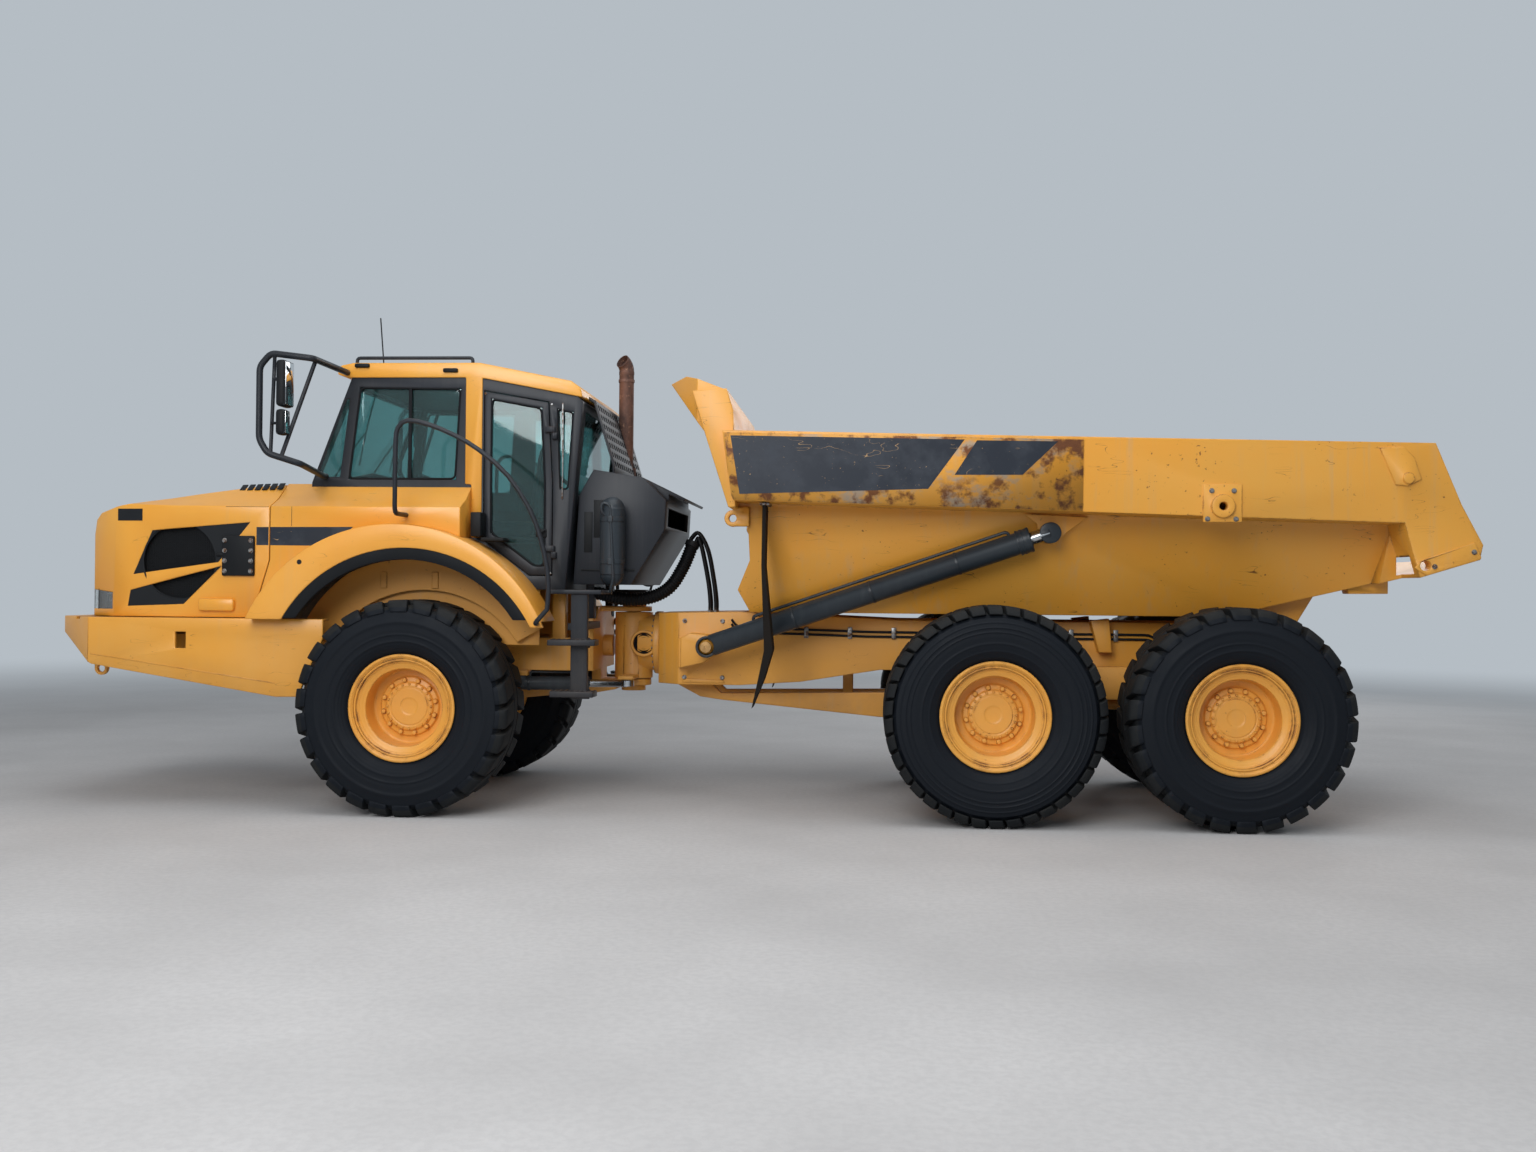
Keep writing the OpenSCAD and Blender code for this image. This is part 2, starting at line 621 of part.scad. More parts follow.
module rear_housing() {
    color(dark) from_axle() {
        difference() {
            side_prism([[1140, 2330], [1245, housing_top(1245)], [1616, housing_top(1616)], [1791, 2290], [1780, 2068],
                [1534, 1660], [1100, 1660]], -housing_y, housing_y);
            side_prism([[1160, 2318], [1256, 2484], [1600, 2430], [1760, 2280], [1750, 2075], [1520, 1690], [1125, 1690]],
                -housing_y + 20, housing_y - 20);
            // Air opening at the back
            cross_prism([[-600, 2100], [600, 2100], [600, 2240], [-600, 2240]], 1700, 1900);
            translate([stack_x, stack_y, 2380]) cylinder(h = 200, d = 121);
        }
        side_prism([[1616, housing_top(1616)], [1915, 2312], [1905, 2294], [1791, 2345], [1791, 2290]], -600, 600);
        // Posts down to the frame
        both_sides() block(1140, wall_x1, beam_y0, beam_y1, wall_top_z0, 1665);
    }
}

module rear_guard() {
    color(dark) from_axle() difference() {
        side_prism([[1190, roof_z - 230], [1240, roof_z - 260], [1390, 2560], [1390, housing_top(1390) + 0.1],
            [1372, housing_top(1372) + 0.1],
            [1372, 2556], [1225, roof_z - 276], [1190, roof_z - 260]], -680, 680);
        // Slot round the exhaust stack
        block(stack_x - 72, stack_x + 80, stack_y - 75, stack_y + 75, 2545, roof_z - 273);
        for (row = [0:6], column = [0:12])
            translate([1224 + row * 22, -620 + column * 100, roof_z - 310 - row * 70]) rotate([0, 90, 0])
                cube([40, 60, 300], center = true);
    }
}

module air_tank() {
    color(dark) from_axle() both_sides() {
        translate([1415, 900, 1735]) cylinder(h = 480, d = 180);
        translate([1415, 900, 2215]) sphere(d = 178);
        translate([1415, 900, 1735]) sphere(d = 178);
        block(1340, 1490, housing_y, 820, 1780, 2160);
    }
}

// Steps, rails, mirrors

rail_y = 1416;

module steps() {
    color(dark) from_axle() both_sides() {
        // Platform beside the cab
        difference() {
            block(1003, 1400, cab_y, 1250, 1590, 1620);
            for (i = [0:5]) block(1030 + i * 60, 1060 + i * 60, cab_y + 40, 1160, 1580, 1630);
        }
        block(1180, 1300, 1180, 1230, 860, 1600);
        block(1030, 1370, 1152, 1320, 1225, 1265);
        block(1050, 1360, 1152, 1320, 860, 900);
        block(1150, 1250, beam_y1, 1190, 1330, 1380);
    }
}

// The rail's arch over the fender, seen from the side
rail_arch = [[-47, 2290], [-46, 2640], [-30, 2755], [40, 2806], [190, 2778], [380, 2700], [559, 2595], [761, 2419],
    [921, 2180], [1001, 1969], [1046, 1773], [1058, 1620], [1048, 1480]];
rail_route = concat([[-48, hood_w / 2, 2150]],
    bend([-48, hood_w / 2, 2150], [-48, rail_y, 2150], [-47, rail_y, 2290], 60, 4),
    curve([for (p = rail_arch) [p.x, rail_y, p.y]], 2),
    bend([1048, rail_y, 1480], [960, rail_y, 1380], [960, fender_w / 2, 1380], 50, 4), [[960, fender_w / 2, 1380]]);

module handrails() {
    color(dark) from_axle() both_sides() {
        hose(rail_route, 34, 12);
        // Rail along the roof's edge
        hose(rounded([[-540, cab_y - 30, roof_z], [-540, cab_y - 30, roof_z + 40], [340, cab_y - 30, roof_z + 40],
            [340, cab_y - 30, roof_z]], 24, 3), 26, 10);
    }
}

module mirrors() {
    y = mirror_w / 2 - 80;
    color(dark) from_axle() both_sides() {
        hose(rounded([[-600, cab_y + 10, wall_z + 35], [-600, y, wall_z + 35], [-900, y, wall_z + 72], [-980, y, wall_z - 20], [-980, y, 2660],
            [-920, y, 2560], [-702, y - 60, 2490], [-760, cab_y + 50, 2450], [-760, cab_y, 2450]], 38, 4), 46, 12);
        bar([-600, y - 60, wall_z + 35], [-831, y - 24, 2531], 30);
        bar([-872, y, wall_z + 62], [-898, y - 6, 2553], 26);
        // Mirror heads
        block(-824, -768, y - 76, y + 76, wall_z - 300, wall_z + 10);
        block(-824, -768, y - 10, y + 76, 2690, 2855);
        bar([-885, y, wall_z - 110], [-800, y, wall_z - 110], 24);
        bar([-893, y + 8, 2770], [-800, y + 8, 2770], 20);
    }
}

module aerial() {
    color(dark) from_axle() {
        bar([-410, 250 - cab_y, roof_z + 5], [-440, 250 - cab_y, roof_z + 380], 10);
        translate([-410, 250 - cab_y, roof_z]) cylinder(h = 30, d = 40);
    }
}

// Steering cylinders

steer_z = 900;
steer_root = [640, 450];
steer_eye = [hinge_x, 330];
steer_span = norm(steer_eye - steer_root);
steer_angle = atan2(steer_eye.y - steer_root.y, steer_eye.x - steer_root.x);
steer_barrel_end = 518;
steer_rod_d = 60;
steer_rod_length = 540;

module along_steer() { translate([steer_root.x, steer_root.y, steer_z]) rotate([0, 0, steer_angle]) children(); }

module steering_barrels() {
    color(dark) from_axle() both_sides() {
        along_steer() difference() {
            union() {
                rotate([0, 90, 0]) cylinder(h = steer_barrel_end, d = 104);
                translate([0, 0, -30]) cylinder(h = 90, d = 110);
            }
            translate([40, 0, 0]) rotate([0, 90, 0]) cylinder(h = steer_span, d = steer_rod_d + 2 * pin_fit);
        }
    }
}

module steering_rod() {
    color("#b9bcc0") from_axle() along_steer() {
        translate([steer_span - steer_rod_length, 0, 0]) rotate([0, 90, 0]) cylinder(h = steer_rod_length, d = steer_rod_d);
        translate([steer_span, 0, -22]) cylinder(h = 44, d = 110);
        translate([steer_span, 0, 22]) cylinder(h = steer_arm_z[0] - steer_z - 22.3, d = 50);
    }
}

module steering_rod_left() { mirror([0, 1, 0]) steering_rod(); }
module steering_rod_right() { steering_rod(); }

// Hitch between tractor and rear unit

steer_arm_z = [932, 960];
roll_bore_d = 320;
ring_d = 494;
ring_x1 = 1672;

module hitch() {
    color(paint) from_axle() {
        difference() {
            union() {
                translate([hinge_x, 0, lower_lug_z[1] + moving_gap])
                    cylinder(h = upper_lug_z[0] - lower_lug_z[1] - 2 * moving_gap, d = 300, $fn = 64);
                long_pin(roll_z, hinge_x + 60, ring_x1, 440);
                long_pin(roll_z, ring_x1 - 50, ring_x1, ring_d);
                // Arms that the steering rods push on
                block(hinge_x - 60, hinge_x + 60, -400, 400, steer_arm_z[0], steer_arm_z[1]);
            }
            long_pin(roll_z, hinge_x + 80, ring_x1 + 1, roll_bore_d + 2 * pin_fit);
        }
        // Hinge pins with their caps
        translate([hinge_x, 0, lower_lug_z[0] - 40])
            cylinder(h = lower_lug_z[1] + moving_gap - lower_lug_z[0] + 40, d = hinge_pin_d, $fn = 64);
        translate([hinge_x, 0, lower_lug_z[0] - 42]) cylinder(h = 40, d = 190);
        translate([hinge_x, 0, upper_lug_z[0] - moving_gap])
            cylinder(h = upper_lug_z[1] + moving_gap - upper_lug_z[0] + 20, d = hinge_pin_d, $fn = 64);
        translate([hinge_x, 0, upper_lug_z[1] + 2]) cylinder(h = 30, d = 190);
    }
}

// Rear unit

frame_y = frame_w / 2;
frame_plate = 120;
hoist_low = [2100, 720, 1205];
hoist_high = [4575, 1060, 2053];
hoist_ball_d = 120;
nose_x = ring_x1 + 8;
function frame_top(x) = 1447 + (x - nose_x) * 14 / (2322 - nose_x);
bogie_x = (mid_axle_x + rear_axle_x) / 2;
stay_x1 = mid_axle_x - nose_face;
shaft_z = axle_z + 30;

module rear_frame() {
    color(paint) from_axle() {
        difference() {
            union() {
                // Nose box, narrower at its front to clear the tractor in a tight turn
                intersection() {
                    side_prism([[nose_x, 905], [nose_x, 1447], [2322, 1461], [2322, 905]], -frame_y, frame_y);
                    plan_prism(mirrored_plan([[nose_x, frame_y - 150], [nose_x + 170, frame_y], [2330, frame_y]]), 900, 1500);
                }
                // Side beams
                both_sides() side_prism([[2322, 1461], [3534, 1412], [6300, 1412], [tip_x + 20, tip_z + 62], [tip_x + 62, tip_z + 20],
                    [tip_x + 55, tip_z - 40], [6150, 1120], [5500, 1050], [3387, 1034], [2783, 936], [2322, 905]],
                    frame_y - frame_plate, frame_y);
            }
            side_prism([[nose_x + 130, 945], [nose_x + 130, 1420], [2400, 1420], [2400, 945]], -frame_y + frame_plate, frame_y - frame_plate);
            cross_pin(tip_x, tip_z, -frame_w, frame_w, 90 + 2 * pin_fit);
        }
        // Roll bearing tube
        long_pin(roll_z, hinge_x + 90, nose_x + 40, roll_bore_d);
        for (x = [3100, 4500, 5300, 6000])
            block(x, x + 120, -frame_y + frame_plate, frame_y - frame_plate, 1100, 1380);
        // Hoist cylinder mounts with their balls
        both_sides() {
            side_prism([[1860, 1250], [1960, 1300], [2080, 1290], [2160, 1230], [2150, 1140], [2060, 1080], [1860, 1034]],
                frame_y, frame_y + 70);
            side_prism([[1890, 1262], [1960, 1300], [2080, 1290], [2160, 1230], [2150, 1140], [2060, 1080], [1890, 1040]],
                frame_y, hoist_low.y - 96);
            cross_pin(hoist_low.x, hoist_low.z, hoist_low.y - 97, hoist_low.y + 78, 60);
            translate(hoist_low) sphere(d = hoist_ball_d);
            cross_pin(hoist_low.x, hoist_low.z, hoist_low.y + 66, hoist_low.y + 78, 84);
        }
        // Front drive shaft and its bearing
        bar([nose_x + 30, 0, roll_z], [3110, 0, 1010], 90);
        block(3100, 3180, -70, 70, shaft_z - 60, 1110);
        // Bogie beam trunnion
        cross_pin(bogie_x, 1000, -560, 560, 160);
        both_sides() block(bogie_x - 120, bogie_x + 120, frame_y - 100, frame_y, 920, 1060);
        // Stop for the lowered body
        both_sides() side_prism([[4939, 1423], [5073, 1440], [5096, 1188], [5000, 1188]], frame_y, 560);
    }
}

module bogie_beams() {
    color(paint) from_axle() both_sides() difference() {
        side_prism([[mid_axle_x - 150, 915], [mid_axle_x + 150, 1000], [bogie_x - 160, 1090], [bogie_x + 160, 1090],
            [rear_axle_x - 150, 1000], [rear_axle_x + 150, 915], [rear_axle_x + 150, 880], [rear_axle_x - 150, 880],
            [rear_axle_x - 200, 850], [mid_axle_x + 200, 850], [mid_axle_x + 150, 880], [mid_axle_x - 150, 880]], 560, 690);
        // Room for the axle tubes
        for (x = [mid_axle_x, rear_axle_x]) cross_pin(x, axle_z, 550, 700, axle_d + 1);
    }
}

module bogie_axles() {
    color(paint) from_axle() {
        for (x = [mid_axle_x, rear_axle_x]) {
            axle_beam(x, true);
            both_sides() block(x - 150, x + 150, 560, 690, axle_z - 40, 880);
        }
        // Shaft between the two axles
        long_pin(axle_z, mid_axle_x, rear_axle_x - nose_face, 90);
    }
}

module stays() {
    color(paint) from_axle() {
        both_sides() side_prism([[1800, 905], [2000, 800], [2161, 777], [3388, 660], [stay_x1, 660], [stay_x1, 850],
            [3388, 849], [2161, 830], [2080, 905]], 160, 240);
        block(stay_x1 - 80, stay_x1, -240, 240, 660, shaft_z - 55);
        // Shaft to the middle axle
        long_pin(shaft_z, 3180, stay_x1, 90);
    }
}

// Hoses over the hinge
sleeve_d = 100;
collar = [1925, -200, 1985];
sleeve_route = [[wall_x1 + 40, -410, 1590], [1400, -400, 1552], [1600, -350, 1560], [1756, -290, 1640], [1860, -230, 1810], collar];
collar_run = (collar - sleeve_route[4]) / norm(collar - sleeve_route[4]);
collar_across = [-collar_run.z, 0, collar_run.x] / norm([collar_run.x, collar_run.z]);
lanes = [[-22, -22], [22, -22], [-22, 22], [22, 22]];

function lane_route(lane) = let (start = collar + lane.x * collar_across - [0, lane.y, 0] + 24 * collar_run,
        y = collar.y - lane.y, x = 2092 + lane.x)
    [start, start + 12 * collar_run, [1972, y, 2042 + lane.x], [2022 + lane.x, y - lane.y * 0.3, 1930],
        [2072 + lane.x, y - lane.y * 0.6, 1680], [x, y - lane.y, 1520]];

module hoses_front() { color(rubber) from_axle() hose(concat([[wall_x1 + 0.3, -410, 1590]], curve(sleeve_route, 4),
    [collar + 3 * collar_run]), sleeve_d, 12); }
module hoses_rear() { color(rubber) from_axle() for (lane = lanes)
    let (route = curve(lane_route(lane), 3), end = route[len(route) - 1])
        hose(concat(route, [[end.x, end.y, frame_top(end.x) + 0.8]]), 30, 8); }

// Dump body

rail_z_front = 2262;
rail_z_rear = 2127;
rail_x0 = 2258;
rail_x1 = 6937;
wall_top_z = 2150;
wall_top_y = 960;
half_body = body_w / 2;
half_floor = floor_w / 2;
belly_z = 1465;

rail_t = 90;
tail_hinge = [7071, 1835];
arm_pivot = [5715, 2234];
function rail_low(x) = rail_z_front - (x - 2340) * (rail_z_front - rail_z_rear) / (rail_x1 - 2340);
rail_in = half_body - rail_t;
wall_w = wall_top_y;
duct_inset = 26;

// Side outlines of the hopper and of the rails
hopper_side = [[2300, 2300], [2417, 2126], [2425, 1847], [2331, 1629], [2420, belly_z], [5938, belly_z],
    [6091, 1520], [7039, 1753], [7100, 2300]];
rail_side = [[rail_x0, 2754], [2298, 2477], [2340, rail_z_front], [rail_x1, rail_z_rear], [7039, 1753],
    [tail_x - 22, 1878], [tail_x, 1980], [7314, 2251], [7140, 2673]];
load_side = [[2330, 2900], [2345, 2477], [2445, 2262], [2455, 1847], [2440, belly_z + floor_t], [5930, belly_z + floor_t],
    [6085, 1545], [7035, 1780], [tail_x + 50, 1910], [tail_x + 50, 2900]];
duct_side = [[2420, 2900], [2420, rail_z_front + duct_inset], [rail_x1 - 60, rail_z_rear + duct_inset], [rail_x1 - 60, 2900]];
front_box_side = [[2036, 3040], [2120, 2766], [2300, 2215], [2350, 2215], [2350, 2262], [2330, 2900], [2281, 3056]];

// Across the load space, from the floor out to the rails
load_section = mirrored_section([[half_floor - 10, belly_z], [wall_w - floor_t, wall_top_z], [wall_w - floor_t, 2290],
    [rail_in, 2400], [rail_in, 3300]]);
hopper_section = mirrored_section([[half_floor, belly_z], [wall_w, wall_top_z], [wall_w, 2310]]);
duct_section = [[wall_w, 2100], [half_body - duct_inset, 2100], [half_body - duct_inset, 2372], [rail_in - 20, 2372], [wall_w, 2278]];

module hopper() {
    difference() {
        union() {
            intersection() {
                cross_prism(hopper_section, 2200, tail_x);
                side_prism(hopper_side, -half_body, half_body);
            }
            both_sides() side_prism(rail_side, wall_w - 10, half_body);
            // Chute plate at full width, with its front web
            side_prism([[6880, 1713], [7039, 1753], [tail_x - 22, 1878], [tail_x - 22, 2100], [6960, 2100]], -wall_w, wall_w);
            side_prism(front_box_side, -half_body + 60, half_body - 60);
        }
        // Load space
        intersection() {
            cross_prism(load_section, 2200, tail_x + 100);
            side_prism(load_side, -half_body, half_body);
        }
        intersection() {
            cross_prism(mirrored_section([[rail_in, belly_z], [rail_in, 3300]]), 7000, tail_x + 100);
            side_prism(load_side, -half_body, half_body);
        }
        // Ducts inside the side rails, open through drain holes
        both_sides() {
            intersection() {
                cross_prism(duct_section, 2300, rail_x1);
                side_prism(duct_side, 0, half_body);
            }
            for (x = [2700, 6500]) translate([x, half_body - 100, 2000]) cylinder(h = 400, d = 50);
        }
        // Bore of the tail hinge
        both_sides() cross_pin(tail_hinge.x, tail_hinge.y, rail_in - 1, 2000, 70);
        // Hollow of the front box
        side_prism([[2120, 2900], [2150, 2770], [2300, 2300], [2280, 2760], [2270, 2900]], -half_body + 90, half_body - 90);
        both_sides() translate([2200, 700, 2000]) cylinder(h = 700, d = 60);
    }
}

// Guard over the cab: a leaning plate between two side plates
visor_tip_y = 760;
visor_y = 1130;
visor_side = [[1822, 3149], [1960, 3178], [2281, 3056], [2281, 2766], [2110, 2766]];

module guard_plan(inset) {
    plan_prism([[1700, -visor_tip_y + inset], [1822, -visor_tip_y + inset], [2060, -visor_y + inset], [2500, -visor_y + inset],
        [2500, visor_y - inset], [2060, visor_y - inset], [1822, visor_tip_y - inset], [1700, visor_tip_y - inset]], 2600, 3300);
}

module guard() {
    difference() {
        intersection() {
            side_prism(visor_side, -half_body, half_body);
            guard_plan(0);
        }
        intersection() {
            side_prism([[1900, 3200], [2140, 2790], [2240, 2790], [2240, 3300]], -half_body, half_body);
            guard_plan(22);
        }
    }
}

module dump_body() {
    color(paint) from_axle() {
        difference() {
            union() {
                hopper();
                // Raised rail panel, tail plate, bracket and box under the chute
                both_sides() {
                    side_prism([[2268, 2740], [4773, 2693], [4770, 2194], [2340, 2262], [2324, 2300]],
                        half_body - 5, half_body + 5);
                    side_prism([[6999, 1821], [7038, 1865], [7397, 1994], [7439, 1895], [7432, 1878], [7079, 1768]],
                        half_body - 5, half_body + 14);
                    side_prism([[6765, 2638], [6870, 2386], [6954, 2378], [7042, 2424], [6995, 2570], [6921, 2645]],
                        half_body - 5, half_body + 16);
                    cross_pin(6954, 2430, half_body - 5, half_body + 34, 76);
                    side_prism([[6723, 1690], [7011, 1758], [7012, 1642], [6737, 1639]], 620, 760);
                }
                // Pivot plates of the tailgate arms
                both_sides() {
                    side_prism([[arm_pivot.x - 130, arm_pivot.y - 110], [arm_pivot.x + 130, arm_pivot.y - 110],
                        [arm_pivot.x + 130, arm_pivot.y + 150], [arm_pivot.x - 130, arm_pivot.y + 150]], half_body - 20, half_body + 14);
                    cross_pin(arm_pivot.x, arm_pivot.y, half_body - 20, half_body + 40, 160);
                }
            }
            both_sides() {
                cross_pin(arm_pivot.x, arm_pivot.y, half_body - duct_inset - 10, half_body + 50, 56);
                cross_pin(tail_hinge.x, tail_hinge.y, half_body - 10, half_body + 50, 70);
            }
        }
        guard();
        // Hinge ears and pin
        both_sides() {
            side_prism([[6140, 1532], [tip_x - 70, tip_z], [tip_x, tip_z - 70], [tip_x + 70, tip_z], [6560, 1636]],
                frame_y + moving_gap, frame_y + 100);
            cross_pin(tip_x, tip_z, frame_y - frame_plate + 10, frame_y + 100, 90);
            // Hoist bracket
            side_prism([[4400, 2190], [4490, 2120], [4500, 1990], [4620, 1975], [4700, 2060], [4850, 2170]],
                wall_top_y - 26, hoist_high.y - 65);
            // Eye at the front of the rail
            difference() {
                union() {
                    cross_pin(2310, 2147, wall_top_y - 30, wall_top_y + 40, 120);
                    side_prism([[2310, 2207], [2310, 2090], [2430, 2090], [2430, 2230], [2330, 2230]], wall_top_y - 30, wall_top_y + 40);
                }
                cross_pin(2310, 2147, 0, half_body, 56);
            }
        }
    }
}

module mud_flaps() {
    color(rubber) from_axle() both_sides()
        side_prism([[2540, rail_low(2540)], [2566, rail_low(2566)], [2560, 1800], [2620, 1205], [2560, 1000], [2475, 790], [2520, 1000], [2560, 1205], [2536, 1800]],
            half_body - 330, half_body - 92);
}

// Hoist cylinders

hoist_vector = hoist_high - hoist_low;
hoist_span = norm(hoist_vector);
hoist_barrel_end = 2500;
hoist_rod_length = hoist_span - 98;

module along_hoist() {
    translate(hoist_low) rotate([0, acos(hoist_vector.z / hoist_span), atan2(hoist_vector.y, hoist_vector.x)]) children();
}

module hoist_barrel() {
    color(dark) from_axle() difference() {
        union() {
            along_hoist() {
                translate([0, 0, 40]) cylinder(h = hoist_barrel_end - 40, d = hoist_d);
                translate([0, 0, hoist_barrel_end - 90]) cylinder(h = 90, d = hoist_d + 16);
            }
            translate(hoist_low) rotate([90, 0, 0]) cylinder(h = 100, d = 160, center = true);
        }
        along_hoist() translate([0, 0, 90]) cylinder(h = hoist_barrel_end, d = hoist_rod_d + 2 * pin_fit);
        translate(hoist_low) rotate([90, 0, 0]) cylinder(h = 400, d = hoist_ball_d + 0.6, center = true);
    }
}

module hoist_rod() {
    color("#b9bcc0") from_axle() {
        along_hoist() translate([0, 0, hoist_span - hoist_rod_length]) cylinder(h = hoist_rod_length, d = hoist_rod_d);
        translate(hoist_high) rotate([90, 0, 0]) cylinder(h = 80, d = 150, center = true);
        cross_pin(hoist_high.x, hoist_high.z, hoist_high.y - 56, hoist_high.y, 70);
    }
}

module hoist_barrel_left() { mirror([0, 1, 0]) hoist_barrel(); }
module hoist_barrel_right() { hoist_barrel(); }
module hoist_rod_left() { mirror([0, 1, 0]) hoist_rod(); }
module hoist_rod_right() { hoist_rod(); }

// Door, on the left side only

module door() {
    color(dark) from_axle() difference() {
        side_prism(door_panel, -cab_y, -cab_y + cab_wall - 8);
        side_prism(door_window, -cab_w, 0);
    }
    color(dark) from_axle() for (z = door_hinge_z) difference() {
        union() {
            translate([door_hinge.x, door_hinge.y, z]) cylinder(h = 44, d = 30);
            block(900, door_hinge.x, door_hinge.y - 12, -cab_y - 8, z, z + 44);
            block(900, 924, door_hinge.y - 12, -cab_y + 5, z, z + 44);
        }
        translate([door_hinge.x, door_hinge.y, z - 1]) cylinder(h = 50, d = door_pin_d + 2 * pin_fit);
    }
}

module door_glass() {
    color(pane) from_axle() side_prism(door_window, -cab_y + 12, -cab_y + 18);
}

front_frame();
bumper();
fenders();
arch_trims();
cowl();
cab_shell();
cab_roof();
cab_glass();
cab_interior();
seat_base();
seat_pads();
engine();
exhaust();
rear_housing();
rear_guard();
air_tank();
steps();
handrails();
mirrors();
aerial();
front_axle();
steering_barrels();
hood();
hood_grilles();
headlamps();
door();
door_glass();
hitch();
steering_rod_left();
steering_rod_right();
rear_frame();
bogie_beams();
bogie_axles();
stays();
hoses_front();
hoses_rear();
dump_body();
mud_flaps();
hoist_barrel_left();
hoist_barrel_right();
hoist_rod_left();
hoist_rod_right();
tyre_front_left();
tyre_front_right();
tyre_mid_left();
tyre_mid_right();
tyre_rear_left();
tyre_rear_right();
rim_front_left();
rim_front_right();
rim_mid_left();
rim_mid_right();
rim_rear_left();
rim_rear_right();
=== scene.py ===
# Looks of the articulated dump truck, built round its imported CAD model
import math

import bmesh
import bpy
from mathutils import Matrix, Vector


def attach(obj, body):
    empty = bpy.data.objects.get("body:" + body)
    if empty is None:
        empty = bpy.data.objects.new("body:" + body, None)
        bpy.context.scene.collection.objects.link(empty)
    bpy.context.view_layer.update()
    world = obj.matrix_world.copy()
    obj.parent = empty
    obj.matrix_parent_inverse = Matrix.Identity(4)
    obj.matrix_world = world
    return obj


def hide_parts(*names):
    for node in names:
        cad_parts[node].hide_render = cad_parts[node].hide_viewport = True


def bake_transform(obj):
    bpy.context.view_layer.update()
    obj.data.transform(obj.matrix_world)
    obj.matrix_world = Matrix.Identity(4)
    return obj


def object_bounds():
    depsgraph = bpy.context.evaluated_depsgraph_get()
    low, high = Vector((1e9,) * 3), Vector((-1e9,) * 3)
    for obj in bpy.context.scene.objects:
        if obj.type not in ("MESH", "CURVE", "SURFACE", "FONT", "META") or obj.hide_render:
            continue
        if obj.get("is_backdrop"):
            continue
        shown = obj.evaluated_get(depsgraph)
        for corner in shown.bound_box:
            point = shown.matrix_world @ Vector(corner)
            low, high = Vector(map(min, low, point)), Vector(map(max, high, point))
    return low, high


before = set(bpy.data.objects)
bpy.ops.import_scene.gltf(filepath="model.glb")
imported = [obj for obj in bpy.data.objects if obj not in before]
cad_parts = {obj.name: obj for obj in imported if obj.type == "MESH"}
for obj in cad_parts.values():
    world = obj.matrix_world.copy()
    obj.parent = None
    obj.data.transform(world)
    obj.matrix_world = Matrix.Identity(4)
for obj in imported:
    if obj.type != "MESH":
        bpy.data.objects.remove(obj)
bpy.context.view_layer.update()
scene = bpy.context.scene
print("frame loaded:", len(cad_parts), "nodes")


def at(x, y, z):  # millimetres, x counted from the front axle to the tail
    return Vector((x / 1000 - 2.346, y / 1000, z / 1000))


def linear(code):  # "#rrggbb" as the eye sees it, to linear light
    shares = [int(code[i : i + 2], 16) / 255 for i in (1, 3, 5)]
    return [*(s / 12.92 if s < 0.04045 else ((s + 0.055) / 1.055) ** 2.4 for s in shares), 1]


# Adds a node with its settings and links, and gives back one output; a shader node goes by its short name
def add(tree, kind, inputs=(), out=0, **settings):
    made = tree.nodes.new(kind if "Node" in kind else "ShaderNode" + kind)
    for name, value in settings.items():
        setattr(made, name, value)
    for key, value in dict(inputs).items():
        if isinstance(value, bpy.types.NodeSocket):
            tree.links.new(value, made.inputs[key])
        else:
            made.inputs[key].default_value = value
    return made.outputs[out] if len(made.outputs) else made


# Camera, where the photograph was taken from; focal length and width of the picture are in its pixels
cameraAt = {"place": (0.9526, -11.586, 1.649), "yaw": -0.0687, "pitch": 0.0078, "roll": 0.0088,
            "focal": 1470.3, "width": 1536, "sensor": 36}

yaw, pitch, roll = cameraAt["yaw"], cameraAt["pitch"], cameraAt["roll"]
ahead = Vector((math.sin(yaw) * math.cos(pitch), math.cos(yaw) * math.cos(pitch), math.sin(pitch)))
right = ahead.cross(Vector((0, 0, 1))).normalized()
above = right.cross(ahead)
across = right * math.cos(roll) + above * math.sin(roll)
upright = above * math.cos(roll) - right * math.sin(roll)
camera = bpy.data.objects.new("photoCamera", bpy.data.cameras.new("photoCamera"))
scene.collection.objects.link(camera)
turn = Matrix((across, upright, -ahead)).transposed().to_4x4()
camera.matrix_world = Matrix.Translation(cameraAt["place"]) @ turn
camera.data.sensor_width = cameraAt["sensor"]
camera.data.lens = cameraAt["focal"] / cameraAt["width"] * cameraAt["sensor"]
scene.camera = camera
scene.view_settings.view_transform = "Standard"


# Finishes

# A new material; constants go straight on the shader's own sockets
def surface(name, **constants):
    material = bpy.data.materials.new(name)
    material.use_nodes = True
    tree = material.node_tree
    shader = tree.nodes["Principled BSDF"]
    for socket, value in constants.items():
        shader.inputs[socket.replace("_", " ")].default_value = value
    return material, tree, shader, add(tree, "TexCoord", out=3)


def joined(tree, shader, **sockets):  # node outputs to the shader's sockets
    for socket, output in sockets.items():
        tree.links.new(output, shader.inputs[socket.replace("_", " ")])


def grain(tree, place, scale, detail, stretch=(1, 1, 1), turn=(0, 0, 0), shift=(0, 0, 0)):
    laid = add(tree, "Mapping", {"Vector": place, "Scale": stretch, "Rotation": turn, "Location": shift})
    return add(tree, "TexNoise", {"Vector": laid, "Scale": scale, "Detail": detail, "Roughness": 0.6})


# (value, from, to) patterns that all have to be high, at a share of full strength
def masked(tree, share, *patterns):
    for value, low, high in patterns:
        part = add(tree, "MapRange", {0: value, 1: low, 2: high})
        share = add(tree, "Math", {0: part, 1: share}, operation="MULTIPLY")
    return share


